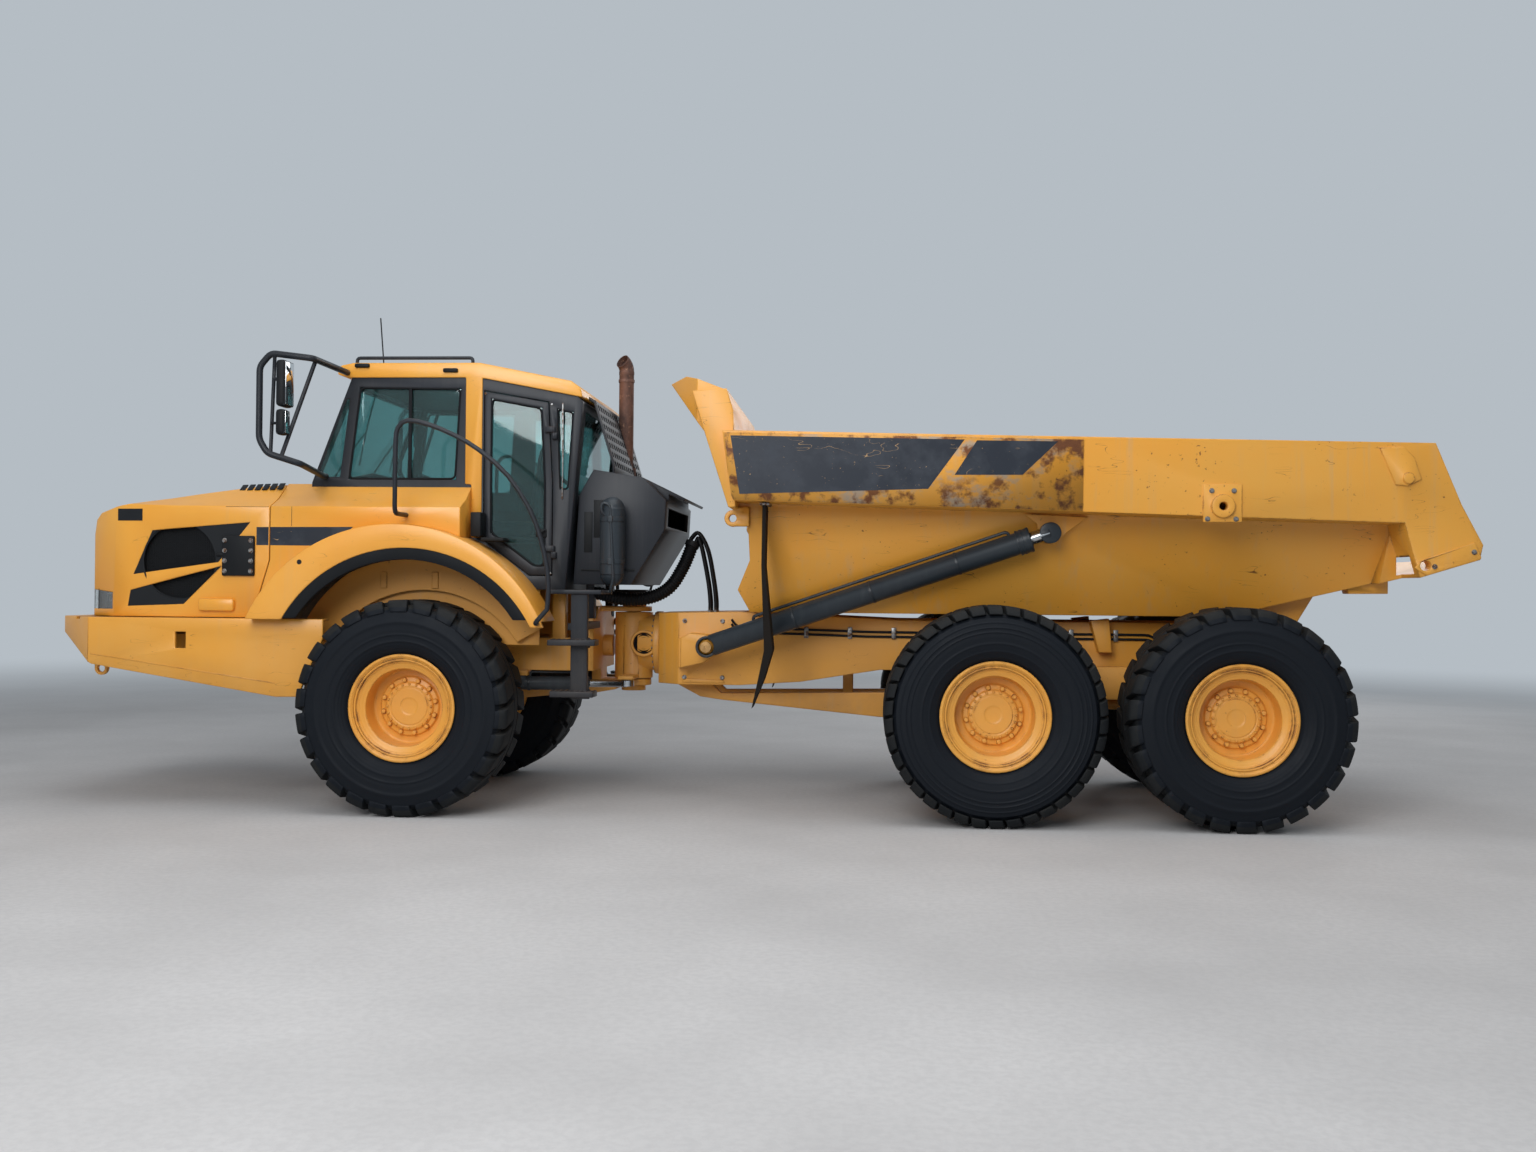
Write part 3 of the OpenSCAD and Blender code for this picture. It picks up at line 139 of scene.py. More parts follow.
def layered(tree, tone, layers):  # colours laid over one another, each through its mask
    for mask, over in layers:
        tone = add(tree, "Mix", {0: mask, 6: tone, 7: over}, 2, data_type="RGBA")
    return tone


# Level lines of a stretched pattern, thin where it passes its middle
def levelLine(tree, pattern):
    centred = add(tree, "Math", {0: pattern, 1: 0.5}, operation="SUBTRACT")
    return add(tree, "Math", {0: centred}, operation="ABSOLUTE")


# Gloss enamel sprayed on steel plate: even colour up close, faded and dusty from afar, rust where edges rub
def enamel(name, colour, fade, edgeWear=0.5, streaks=0.25, grime=0.5, grimeTop=1.4, specks=0.4, scratches=0.4,
           peel=0.10, roughness=0.36, dust="#b3a185", rust="#5a3218", mud="#7d6a52", bare="#9c948a",
           patchBox=None, shine=0.5):
    material, tree, shader, place = surface(name, IOR=1.5, Metallic=0.0, Specular_IOR_Level=shine,
                                            Coat_Weight=0.24 * shine, Coat_Roughness=0.25)
    height = add(tree, "SeparateXYZ", {0: place}, out=2)
    normal = add(tree, "NewGeometry", out=1)
    facing = add(tree, "SeparateXYZ", {0: normal}, out=2)
    faded = add(tree, "MapRange", {0: grain(tree, place, 0.9, 4), 1: 0.35, 2: 0.68})
    # Rain streaks, some 60 mm apart, run down the sides
    streak = masked(tree, streaks, (grain(tree, place, 1.0, 5, (16, 16, 0.9)), 0.52, 0.72),
                    (grain(tree, place, 1.3, 2), 0.4, 0.62))
    # Dust lies on what faces up, and road dirt is thrown up from below
    lying = masked(tree, 0.3, (facing, 0.55, 0.98), (grain(tree, place, 2.6, 5), 0.30, 0.75))
    low = masked(tree, grime, (height, grimeTop, 0.55), (grain(tree, place, 4.5, 6), 0.32, 0.66))
    layers = [(faded, linear(fade)), (streak, linear(dust)), (lying, linear(dust)), (low, linear(mud))]
    # Paint worn off in patches down to dull primer, within a box: front, rear and lower edge
    if patchBox:
        front, rear, lower, patches = patchBox
        x = add(tree, "SeparateXYZ", {0: place})
        torn = grain(tree, place, 2.4, 7, (1, 1, 1.5), (0, 0.5, 0), (3.1, 0, 0))
        worn = masked(tree, patches, (torn, 0.50, 0.56), (x, front, front + 0.5), (x, rear, rear - 0.12),
                      (height, lower, lower + 0.05))
        layers.append((worn, linear(bare)))
    # Long thin scratches, broken by a coarser pattern
    line = levelLine(tree, grain(tree, place, 1.6, 2, (1.2, 1.2, 7), (0.3, 0.55, 0.2)))
    thin = masked(tree, scratches, (line, 0.0035, 0.001),
                  (grain(tree, place, 3.2, 3, shift=(5, 2, 0)), 0.55, 0.62))
    # Chips of 5 to 15 mm gather in places
    chip = masked(tree, specks, (grain(tree, place, 38, 4), 0.66, 0.69),
                  (grain(tree, place, 2.1, 3, shift=(9, 0, 4)), 0.50, 0.60))
    # Edges rubbed through to rust
    rounded = add(tree, "Bevel", {"Radius": 0.012}, samples=4)
    along = add(tree, "VectorMath", {0: rounded, 1: normal}, out=1, operation="DOT_PRODUCT")
    edge = masked(tree, edgeWear, (along, 0.985, 0.90), (grain(tree, place, 7, 6), 0.50, 0.60))
    rusty = add(tree, "Math", {0: chip, 1: edge}, operation="MAXIMUM")
    rustColour = layered(tree, linear(rust), [(grain(tree, place, 55, 3), linear("#8a5228"))])
    tone = layered(tree, linear(colour), layers + [(thin, linear(rust)), (rusty, rustColour)])
    soiled = add(tree, "Math", {0: low, 1: lying}, operation="MAXIMUM")
    dull = add(tree, "Math", {0: soiled, 1: rusty}, operation="MAXIMUM")
    rough = add(tree, "MapRange", {0: dull, 1: 0, 2: 1, 3: roughness, 4: 0.85})
    # Spray texture of some 8 mm, and the step down where paint has chipped off
    spray = add(tree, "Math", {0: grain(tree, place, 120, 2), 1: peel}, operation="MULTIPLY")
    step = add(tree, "Math", {0: rusty, 1: 0.5}, operation="MULTIPLY")
    bumps = add(tree, "Math", {0: spray, 1: step}, operation="SUBTRACT")
    bumped = add(tree, "Bump", {"Height": bumps, "Strength": 0.6, "Distance": 0.002, "Normal": rounded})
    joined(tree, shader, Base_Color=tone, Roughness=rough, Normal=bumped)
    return material


hoodEnamel = enamel("hoodEnamel", "#e99f33", "#ecaa44", edgeWear=0.35, streaks=0.12, grime=0.15, specks=0.15,
                    scratches=0.25, roughness=0.30)
fenderEnamel = enamel("fenderEnamel", "#eca238", "#efae4c", edgeWear=0.30, streaks=0.12, grime=0.25,
                      grimeTop=1.55, specks=0.2, scratches=0.3)
bumperEnamel = enamel("bumperEnamel", "#e39d34", "#e6a94f", edgeWear=0.45, streaks=0.12, grime=0.25,
                      grimeTop=1.2, specks=0.35, scratches=0.5)
railEnamel = enamel("railEnamel", "#e69f36", "#dfa344", edgeWear=1.0, streaks=0.3, grime=0.1, specks=0.9,
                    scratches=0.9, peel=0.5, roughness=0.42)
panelEnamel = enamel("panelEnamel", "#e39c30", "#dba046", edgeWear=1.0, streaks=0.35, grime=0.0, specks=1.0,
                     scratches=1.0, peel=0.35, roughness=0.45, bare="#a69a8b",
                     patchBox=(0.2, 2.42, 2.0, 0.85))
frameEnamel = enamel("frameEnamel", "#dc9a36", "#d49640", edgeWear=0.5, streaks=0.25, grime=0.40,
                     grimeTop=1.2, specks=0.6, scratches=0.3, roughness=0.5, mud="#6f5d49")
wheelEnamel = enamel("wheelEnamel", "#e99f38", "#ecab49", edgeWear=0.9, streaks=0.1, grime=0.12, grimeTop=2.0,
                     specks=0.5, scratches=0.3, rust="#6b3a1c", roughness=0.40)
# Semi-gloss machine enamel: near black, a thin veil of dust takes the shine off
darkEnamel = enamel("darkEnamel", "#23262b", "#2c2f35", edgeWear=0.25, streaks=0.12, grime=0.2, grimeTop=1.6,
                    specks=0.1, scratches=0.1, dust="#6b6a66", rust="#4b3c30", roughness=0.40, shine=0.2)
slateEnamel = enamel("slateEnamel", "#272d33", "#30373d", edgeWear=0.2, streaks=0.15, grime=0.1, specks=0.1,
                     scratches=0.4, dust="#63686c", rust="#191d21", roughness=0.36, shine=0.25)


# Moulded plastic and rubber: an even matt skin with fine grain, greyer where dust has settled
def moulded(name, colour, dusty, roughness, grainScale, share, relief=0.15):
    material, tree, shader, place = surface(name, IOR=1.52, Specular_IOR_Level=0.16)
    facing = add(tree, "SeparateXYZ", {0: add(tree, "NewGeometry", out=1)}, out=2)
    cloud = add(tree, "MapRange", {0: grain(tree, place, 3.5, 6), 1: 0.36, 2: 0.70})
    top = add(tree, "MapRange", {0: facing, 1: 0.2, 2: 1.0, 3: 0.35, 4: 1.0})
    settling = add(tree, "Math", {0: cloud, 1: top}, operation="MULTIPLY")
    dust = add(tree, "Math", {0: settling, 1: share}, operation="MULTIPLY")
    tone = layered(tree, linear(colour), [(dust, linear(dusty))])
    rough = add(tree, "MapRange", {0: cloud, 1: 0, 2: 1, 3: roughness, 4: roughness + 0.2})
    rounded = add(tree, "Bevel", {"Radius": 0.004}, samples=2)
    fine = grain(tree, place, grainScale, 2)
    bumped = add(tree, "Bump", {"Height": fine, "Strength": relief, "Distance": 0.001, "Normal": rounded})
    joined(tree, shader, Base_Color=tone, Roughness=rough, Normal=bumped)
    return material


tyreRubber = moulded("tyreRubber", "#0e131a", "#23282e", 0.56, 90, 0.5, 0.35)
treadRubber = moulded("treadRubber", "#15181b", "#3d3c39", 0.62, 60, 0.7, 0.5)
hoseRubber = moulded("hoseRubber", "#0c0e11", "#262625", 0.45, 220, 0.3)
sealRubber = moulded("sealRubber", "#111418", "#2e2d2a", 0.6, 180, 0.35)
flapRubber = moulded("flapRubber", "#171412", "#3a322a", 0.75, 120, 0.5)
blackPlastic = moulded("blackPlastic", "#15171a", "#393936", 0.46, 300, 0.35)
meshBlack = moulded("meshBlack", "#111214", "#2f2d2a", 0.55, 300, 0.4)
grillePlastic = moulded("grillePlastic", "#1b1e22", "#3b3a37", 0.5, 300, 0.35)

# Seat cloth, woven of thick dark yarn; the 1.2 mm weave is drawn at 4 mm so that it shows
seatCloth, tree, shader, place = surface("seatCloth", IOR=1.5, Roughness=0.88, Sheen_Weight=0.4,
                                         Sheen_Roughness=0.4)
threads = [add(tree, "TexWave", {"Vector": place, "Scale": 80, "Distortion": 0.4}, out=1, bands_direction=way)
           for way in "YZ"]
weave = add(tree, "Math", {0: threads[0], 1: threads[1]}, operation="MULTIPLY")
joined(tree, shader, Base_Color=layered(tree, linear("#23262a"), [(weave, linear("#4b4f55"))]),
       Normal=add(tree, "Bump", {"Height": weave, "Strength": 0.4, "Distance": 0.002}))


# One pattern drives both colour and roughness, each between two values
def toned(name, tones, pattern, tintSpan, roughSpan, rough, relief=0, **constants):
    material, tree, shader, place = surface(name, **constants)
    cloud = grain(tree, place, *pattern)
    tint = add(tree, "MapRange", {0: cloud, 1: tintSpan[0], 2: tintSpan[1]})
    roughness = add(tree, "MapRange", {0: cloud, 1: roughSpan[0], 2: roughSpan[1], 3: rough[0], 4: rough[1]})
    joined(tree, shader, Base_Color=layered(tree, linear(tones[0]), [(tint, linear(tones[1]))]),
           Roughness=roughness)
    if relief:
        joined(tree, shader,
               Normal=add(tree, "Bump", {"Height": cloud, "Strength": relief, "Distance": 0.002}))
    return material


# Toughened cab glass with a faint green cast, wiped cleaner in some patches than in others
cabGlass = toned("cabGlass", ("#98c6c6", "#8dbab9"), (2.2, 5), (0.42, 0.8), (0.42, 0.8), (0.01, 0.07),
                 IOR=1.45, Metallic=0.0, Transmission_Weight=0.95)
# Hard chromed steel: a mirror with faint lengthwise scoring
chromedRod = toned("chromedRod", ("#9fa3a6", "#d3d6d8"), (3, 4, (1, 60, 60)), (0, 1), (0.3, 0.7),
                   (0.12, 0.30), Metallic=1.0)
# Mild steel pipe burnt brown by exhaust heat, scaly and dull, with flakes over it
burntSteel = toned("burntSteel", ("#7d5b4e", "#4d3a35"), (9, 8, (1, 1, 0.6)), (0.40, 0.62), (0.3, 0.7),
                   (0.55, 0.85), 0.35, Metallic=0.35)
tree = burntSteel.node_tree
baseColour = tree.nodes["Principled BSDF"].inputs["Base Color"]
flakes = grain(tree, tree.nodes["Texture Coordinate"].outputs[3], 30, 5)
flaked = add(tree, "MapRange", {0: flakes, 1: 0.60, 2: 0.68})
tree.links.new(layered(tree, baseColour.links[0].from_socket, [(flaked, linear("#a17c66"))]), baseColour)
# Zinc plated fasteners, gone grey, with brown in patches
platedSteel = toned("platedSteel", ("#8b8c8c", "#6a4a33"), (45, 4), (0.48, 0.62), (0.48, 0.62), (0.35, 0.75),
                    Metallic=0.8)
# Bronze bush end, worn bright by turning
bushBronze = toned("bushBronze", ("#8a6a44", "#c29a68"), (40, 4), (0, 1), (0.3, 0.7), (0.25, 0.5),
                   Metallic=1.0)
# Clear polycarbonate lamp lens, lightly hazed, over a vacuum-coated reflector
lampLens = toned("lampLens", ("#eef2f2", "#d5dad9"), (20, 4), (0, 1), (0.3, 0.8), (0.03, 0.16),
                 IOR=1.58, Transmission_Weight=0.9)
lampMirror = toned("lampMirror", ("#b9bdbf", "#e3e6e7"), (14, 3), (0, 1), (0.3, 0.7), (0.08, 0.22),
                   Metallic=1.0)
# Silvered mirror glass
mirrorGlass = toned("mirrorGlass", ("#c5cacd", "#dde1e3"), (6, 4), (0, 1), (0.3, 0.8), (0.02, 0.10),
                    Metallic=1.0)

# Grey primer of a machined casting seen through the hinge's opening
castIron, tree, shader, place = surface("castIron", Metallic=0.4)
sand = grain(tree, place, 150, 3)
primed = add(tree, "MapRange", {0: grain(tree, place, 6, 5), 1: 0.4, 2: 0.65})
joined(tree, shader, Base_Color=layered(tree, linear("#4a4743"), [(primed, linear("#6c5c49"))]),
       Roughness=add(tree, "MapRange", {0: sand, 1: 0.3, 2: 0.7, 3: 0.55, 4: 0.8}),
       Normal=add(tree, "Bump", {"Height": sand, "Strength": 0.5, "Distance": 0.002}))

# Self-adhesive vinyl film: flat slate colour, nicked through to the paint in thin lines
darkFilm, tree, shader, place = surface("darkFilm", IOR=1.46, Specular_IOR_Level=0.25)
veil = add(tree, "MapRange", {0: grain(tree, place, 5, 7), 1: 0.45, 2: 0.75})
veiled = add(tree, "Math", {0: veil, 1: 0.35}, operation="MULTIPLY")
nick = levelLine(tree, grain(tree, place, 2.1, 2, (1.5, 1, 5), (0, 1.1, 0)))
nicked = masked(tree, 1.0, (nick, 0.004, 0.001), (grain(tree, place, 4, 3, shift=(2, 7, 0)), 0.57, 0.62))
speck = add(tree, "MapRange", {0: grain(tree, place, 60, 3), 1: 0.715, 2: 0.73})
marked = add(tree, "Math", {0: nicked, 1: speck}, operation="MAXIMUM")
tone = layered(tree, linear("#2b3039"), [(veiled, linear("#565b63")), (marked, linear("#c7a272"))])
joined(tree, shader, Base_Color=tone, Roughness=add(tree, "MapRange", {0: veil, 1: 0, 2: 1, 3: 0.32, 4: 0.6}))
print("finishes made:", len(bpy.data.materials))


# Building mesh

def baked(mesh, name):
    data = bpy.data.meshes.new(name)
    mesh.to_mesh(data)
    mesh.free()
    return data


def standing(name, data):  # an object in the scene
    made = bpy.data.objects.new(name, data)
    scene.collection.objects.link(made)
    return made


def worked(holder):  # the shape that an object's modifiers make, and the object gone
    done = bmesh.new()
    done.from_object(holder, bpy.context.evaluated_depsgraph_get())
    bpy.data.objects.remove(holder)
    return done


def settled(mesh, name, body, material, replaces=(), crease=32):
    data = baked(mesh, name) if isinstance(mesh, bmesh.types.BMesh) else mesh
    piece = standing(name, data)
    data.materials.clear()
    data.materials.append(material)
    data.polygons.foreach_set("use_smooth", [True] * len(data.polygons))
    data.set_sharp_from_angle(angle=math.radians(crease))
    if body:
        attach(piece, body)
    if replaces:
        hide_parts(*replaces)
    return piece


# An edge is rounded less where a neighbouring edge is near, and not at all below the least share of the width
bevelLimits = {"least": 0.12, "spare": 2.3, "slant": 0.5, "flat": 0.01}


def bevelled(mesh, width, segments=2, angle=28):  # width in millimetres
    width /= 1000
    share = mesh.edges.layers.float.new("bevel_weight_edge")
    for e in mesh.edges:
        if len(e.link_faces) != 2 or e.calc_face_angle(0) < math.radians(angle):
            continue
        room = 1.0
        for v in e.verts:
            run = (e.other_vert(v).co - v.co).normalized()
            for f in v.link_edges:
                if f is e or len(f.link_faces) == 2 and f.calc_face_angle(0) < bevelLimits["flat"]:
                    continue
                way = f.other_vert(v).co - v.co
                slant = run.cross(way.normalized()).length
                if run.dot(way) > 0 or slant > bevelLimits["slant"]:
                    reach = way.length * max(slant, bevelLimits["least"])
                    room = min(room, reach / (bevelLimits["spare"] * width))
        e[share] = room if room > bevelLimits["least"] else 0.0
    holder = standing("loose", baked(mesh, "loose"))
    edges = holder.modifiers.new("edges", "BEVEL")
    edges.width, edges.segments = width, segments
    edges.limit_method, edges.use_clamp_overlap = "WEIGHT", False
    return worked(holder)


def carved(mesh, tool):  # one shape cut out of another
    holder, knife = standing("whole", baked(mesh, "whole")), standing("tool", baked(tool, "tool"))
    cut = holder.modifiers.new("cut", "BOOLEAN")
    cut.operation, cut.object, cut.solver = "DIFFERENCE", knife, "EXACT"
    done = worked(holder)
    bpy.data.objects.remove(knife)
    return done


def copied(node):  # a CAD node's own shape, merged into whole faces
    whole = bmesh.new()
    whole.from_mesh(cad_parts[node].data)
    bmesh.ops.remove_doubles(whole, verts=whole.verts, dist=2e-5)
    bmesh.ops.dissolve_degenerate(whole, edges=whole.edges, dist=2e-5)
    bmesh.ops.dissolve_limit(whole, angle_limit=math.radians(0.4), verts=whole.verts, edges=whole.edges)
    bmesh.ops.connect_verts_concave(whole, faces=whole.faces)
    return whole


def dressed(node, body, material, width, crease=32):
    mesh = copied(node)
    if width:
        mesh = bevelled(mesh, width)
    return settled(mesh, node + "Dressed", body, material, [node], crease)


def plate(mesh, outline, y0, y1):  # a side view outline (x, z) between two distances from the centre plane
    low, high = ([mesh.verts.new(at(x, y, z)) for x, z in outline] for y in (y0, y1))
    faces = [mesh.faces.new(low), mesh.faces.new(high[::-1])]
    faces += [mesh.faces.new((low[i - 1], high[i - 1], high[i], low[i])) for i in range(len(outline))]
    bmesh.ops.recalc_face_normals(mesh, faces=faces)


def crate(mesh, x0, x1, y0, y1, z0, z1):
    plate(mesh, [(x0, z0), (x1, z0), (x1, z1), (x0, z1)], y0, y1)


def turned(mesh, centre, axis, outline, steps=32):  # (radius, along) pairs in millimetres swept round an axis
    axis = Vector(axis).normalized()
    side = axis.orthogonal().normalized()
    other = axis.cross(side)
    turns = [i * math.tau / steps for i in range(steps)]
    rings = []
    for radius, along in outline:
        middle = centre + axis * along / 1000
        spots = [middle + (side * math.cos(t) + other * math.sin(t)) * radius / 1000 for t in turns]
        rings.append([mesh.verts.new(spot) for spot in (spots if radius else [middle])])
    faces = []
    for a, b in zip(rings, rings[1:] + ([rings[0]] if outline[0][0] else [])):
        for i in range(steps):
            j = (i + 1) % steps
            corners = [a[i % len(a)], a[j % len(a)], b[j % len(b)], b[i % len(b)]]
            corners = [v for k, v in enumerate(corners) if v not in corners[:k]]
            if len(corners) > 2:
                faces.append(mesh.faces.new(corners))
    bmesh.ops.recalc_face_normals(mesh, faces=faces)


def smoothed(route, steps):  # a curve through the given points
    points = []
    for i in range(len(route) - 1):
        a, b, c, d = route[max(i - 1, 0)], route[i], route[i + 1], route[min(i + 2, len(route) - 1)]
        square, cube = 2 * a - 5 * b + 4 * c - d, 3 * b - a - 3 * c + d
        for t in (k / steps for k in range(steps)):
            points.append(b + 0.5 * ((c - a) * t + square * t**2 + cube * t**3))
    return points + [route[-1]]


ribSteps = 6  # rings to one rib


def spread(points, pitch):  # the same line with evenly spaced points, ribSteps of them to each rib
    total = [0]
    for a, b in zip(points, points[1:]):
        total.append(total[-1] + (b - a).length * 1000)
    count = int(total[-1] / pitch) * ribSteps
    fine = []
    for k in range(count + 1):
        goal = total[-1] * k / count
        i = max(j for j in range(len(total) - 1) if total[j] <= goal + 1e-6)
        fine.append(points[i].lerp(points[i + 1], (goal - total[i]) / (total[i + 1] - total[i])))
    return fine


# A round tube, with ribs where asked for
def swept(mesh, route, radius, sides=12, steps=0, ribs=0, pitch=20):
    points = smoothed(route, steps) if steps else list(route)
    if ribs:
        points = spread(points, pitch)
    rings, side = [], None
    for i, point in enumerate(points):
        run = (points[min(i + 1, len(points) - 1)] - points[max(i - 1, 0)]).normalized()
        side = run.orthogonal().normalized() if side is None else (side - run * side.dot(run)).normalized()
        other = run.cross(side)
        r = (radius + ribs * math.sin(i * math.tau / ribSteps)) / 1000
        turns = [t * math.tau / sides for t in range(sides)]
        rings.append([mesh.verts.new(point + (side * math.cos(t) + other * math.sin(t)) * r) for t in turns])
    faces = [mesh.faces.new(rings[0]), mesh.faces.new(rings[-1][::-1])]
    for a, b in zip(rings, rings[1:]):
        faces += [mesh.faces.new((a[i], a[(i + 1) % sides], b[(i + 1) % sides], b[i])) for i in range(sides)]
    bmesh.ops.recalc_face_normals(mesh, faces=faces)


def mirrored(mesh):  # adds the other side's half
    source = list(mesh.verts) + list(mesh.edges) + list(mesh.faces)
    copy = bmesh.ops.duplicate(mesh, geom=source)["geom"]
    for v in copy:
        if isinstance(v, bmesh.types.BMVert):
            v.co.y = -v.co.y
    bmesh.ops.reverse_faces(mesh, faces=[f for f in copy if isinstance(f, bmesh.types.BMFace)])
    return mesh


# Both sides of a piece, drawn on the left
def paired(mesh, name, body, material, width=0):
    mesh = mirrored(mesh)
    return settled(bevelled(mesh, width) if width else mesh, name, body, material)


# Both sides of a piece of boxes (x0, x1, y0, y1, z0, z1) and plates (outline, y0, y1)
def drawn(name, body, material, slot, width, *shapes):
    mesh = bmesh.new()
    for shape in shapes:
        (plate if len(shape) == 3 else crate)(mesh, *shape)
    return paired(mesh, name, body, material, width)


def bent(route, reach, steps=4):  # straight runs with their corners rounded
    points = [route[0]]
    for a, b, c in zip(route, route[1:], route[2:]):
        start, end = b + (a - b).normalized() * reach, b + (c - b).normalized() * reach
        for t in (k / steps for k in range(steps + 1)):
            points.append((1 - t) ** 2 * start + 2 * t * (1 - t) * b + t * t * end)
    return points + [route[-1]]


def facing(place, direction):  # a matrix that stands a template at a place, its top along direction
    return Matrix.Translation(place) @ Vector(direction).to_track_quat("Z", "Y").to_matrix().to_4x4()


def bothSides(matrices):
    return list(matrices) + [Matrix.Scale(-1, 4, (0, 1, 0)) @ m for m in matrices]


def placed(data, matrices):  # a BMesh with one copy at each matrix
    whole = bmesh.new()
    for matrix in matrices:
        part = data.copy()
        part.transform(matrix)
        if matrix.determinant() < 0:
            part.flip_normals()
        whole.from_mesh(part)
        bpy.data.meshes.remove(part)
    return whole


# Geometry Nodes for what repeats

def groupTree(name, sockets):  # a node group with named inputs
    tree = bpy.data.node_groups.new(name, "GeometryNodeTree")
    for label, kind in sockets.items():
        tree.interface.new_socket(label, in_out="INPUT", socket_type="NodeSocket" + kind)
    tree.interface.new_socket("Geometry", in_out="OUTPUT", socket_type="NodeSocketGeometry")
    return tree, tree.nodes.new("NodeGroupInput").outputs


def copies(tree, given, laying):  # copies at the points, made real and given their finish
    laid = add(tree, "GeometryNodeInstanceOnPoints", laying)
    real = add(tree, "GeometryNodeRealizeInstances", {0: laid})
    finished = add(tree, "GeometryNodeSetMaterial", {0: real, "Material": given["Finish"]})
    tree.links.new(finished, tree.nodes.new("NodeGroupOutput").inputs[0])


def repeatTree(name, turning):  # copies of one template, round an axis or along a line
    sockets = {"Template": "Object", "Count": "Int", "Finish": "Material", "Seed": "Int", "Play": "Float"}
    sockets.update({"Radius": "Float", "Start": "Float"} if turning else {"Step": "Vector"})
    tree, given = groupTree(name, sockets)
    template = add(tree, "GeometryNodeObjectInfo", {0: given["Template"]}, out="Geometry")
    index = add(tree, "GeometryNodeInputIndex")
    loose = add(tree, "Math", {0: given["Play"], 1: -1.0}, operation="MULTIPLY")
    play = add(tree, "FunctionNodeRandomValue", {2: loose, 3: given["Play"], "Seed": given["Seed"]}, out=1)
    if turning:
        whole = add(tree, "Math", {0: index, 1: math.tau}, operation="MULTIPLY")
        share = add(tree, "Math", {0: whole, 1: given["Count"]}, operation="DIVIDE")
        angle = add(tree, "Math", {0: share, 1: given["Start"]}, operation="ADD")
        away = add(tree, "CombineXYZ", {0: given["Radius"]})
        template = add(tree, "GeometryNodeTransform", {"Geometry": template, "Translation": away})
        spots = add(tree, "GeometryNodePoints", {"Count": given["Count"]})
        turn = add(tree, "CombineXYZ", {2: add(tree, "Math", {0: angle, 1: play}, operation="ADD")})
    else:
        place = add(tree, "VectorMath", {0: given["Step"], "Scale": index}, operation="SCALE")
        spots = add(tree, "GeometryNodePoints", {"Count": given["Count"], "Position": place})
        turn = add(tree, "CombineXYZ", {2: play})
    copies(tree, given, {"Points": spots, "Instance": template, "Rotation": turn})
    return tree


ringTree, rowTree = repeatTree("copiesRound", True), repeatTree("copiesInRow", False)


# Gives a BMesh with one set of copies at each matrix
def repeated(tree, template, material, settings, matrices=(Matrix.Identity(4),)):
    holder = standing("holder", bpy.data.meshes.new("holder"))
    pattern = holder.modifiers.new("pattern", "NODES")
    pattern.node_group = tree
    wanted = {"Template": template, "Finish": material, "Seed": 7, "Play": 0.0, **settings}
    for socket in tree.interface.items_tree:
        if socket.in_out == "INPUT":
            pattern[socket.identifier] = wanted[socket.name]
    evaluated = holder.evaluated_get(bpy.context.evaluated_depsgraph_get())
    flat = bpy.data.meshes.new_from_object(evaluated)
    bpy.data.objects.remove(holder)
    return placed(flat, matrices)


def template(mesh, name):  # a shape kept only to be copied
    made = baked(mesh, name)
    made.transform(Matrix.Translation(-at(0, 0, 0)))
    return bpy.data.objects.new(name, made)


def boltTemplate(name, width, height, washer):
    mesh = bmesh.new()
    half = width / math.sqrt(3)
    disc = [(0, -2), (washer, -2), (washer, 3), (washer * 0.96, 4), (0, 4)]
    head = [(0, 3), (half, 3), (half, height), (half * 0.86, height + 2), (0, height + 2)]
    turned(mesh, at(0, 0, 0), (0, 0, 1), disc, 14)
    turned(mesh, at(0, 0, 0), (0, 0, 1), head, 6)
    return template(mesh, name)


smallBolt, wheelNut = boltTemplate("smallBolt", 16, 9, 10), boltTemplate("wheelNut", 30, 22, 20)
plateBolt = boltTemplate("plateBolt", 24, 14, 18)


# Wheels: each tyre is a ribbed carcass with lugs laid round both shoulders

wheelSizes = {"track": 2258, "tyreRadius": 770, "treadFrom": 705, "wheelbase": 4175, "bogie": 1670,
              "nuts": 12, "nutCircle": 193, "coverBolts": 20, "coverCircle": 160, "turns": 120, "lugLean": 14}
treads = {"coarse": {"lugs": 26, "groove": 46, "foot": 684,
                     "sideRings": ((612, 5, 14), (525, 4, 7), (476, 5, 9), (430, 2, 5))},
          "fine": {"lugs": 38, "groove": 26, "foot": 708,
                   "sideRings": ((652, 4, 5), (617, 4, 5), (586, 4, 5), (508, 4, 8), (455, 2, 5))}}


def sidewall(r, rings):  # half width of the carcass at a radius, with its raised rings
    knots = [(335, 232), (391, 232), (409, 258), (450, 282), (490, 291), (555, 296), (630, 294), (684, 282),
             (700, 262)]
    for (r0, h0), (r1, h1) in zip(knots, knots[1:]):
        if r0 <= r <= r1:
            height = h0 + (h1 - h0) * (r - r0) / (r1 - r0)
            break
    return height + sum(rise * math.exp(-(((r - middle) / wide) ** 2)) for middle, rise, wide in rings)


def tyreMesh(tread):
    rings = tread["sideRings"]
    side = [(r, sidewall(r, rings)) for r in [392, 400] + list(range(409, 684, 4)) + [684]]
    crown = [(692, 268), (706, 254), (722, 234), (729, 190), (731, 60), (760, 44), (768, 34), (768, 0)]
    half = side + crown
    inside = [(345, 214), (388, 212), (430, 238), (540, 266), (640, 262), (690, 224), (698, 0)]
    outline = half + [(r, -h) for r, h in half[-2::-1] + inside[:-1]] + inside[::-1]
    mesh = bmesh.new()
    turned(mesh, Vector((0, 0, 0)), (0, 0, 1), outline, wheelSizes["turns"])
    return mesh


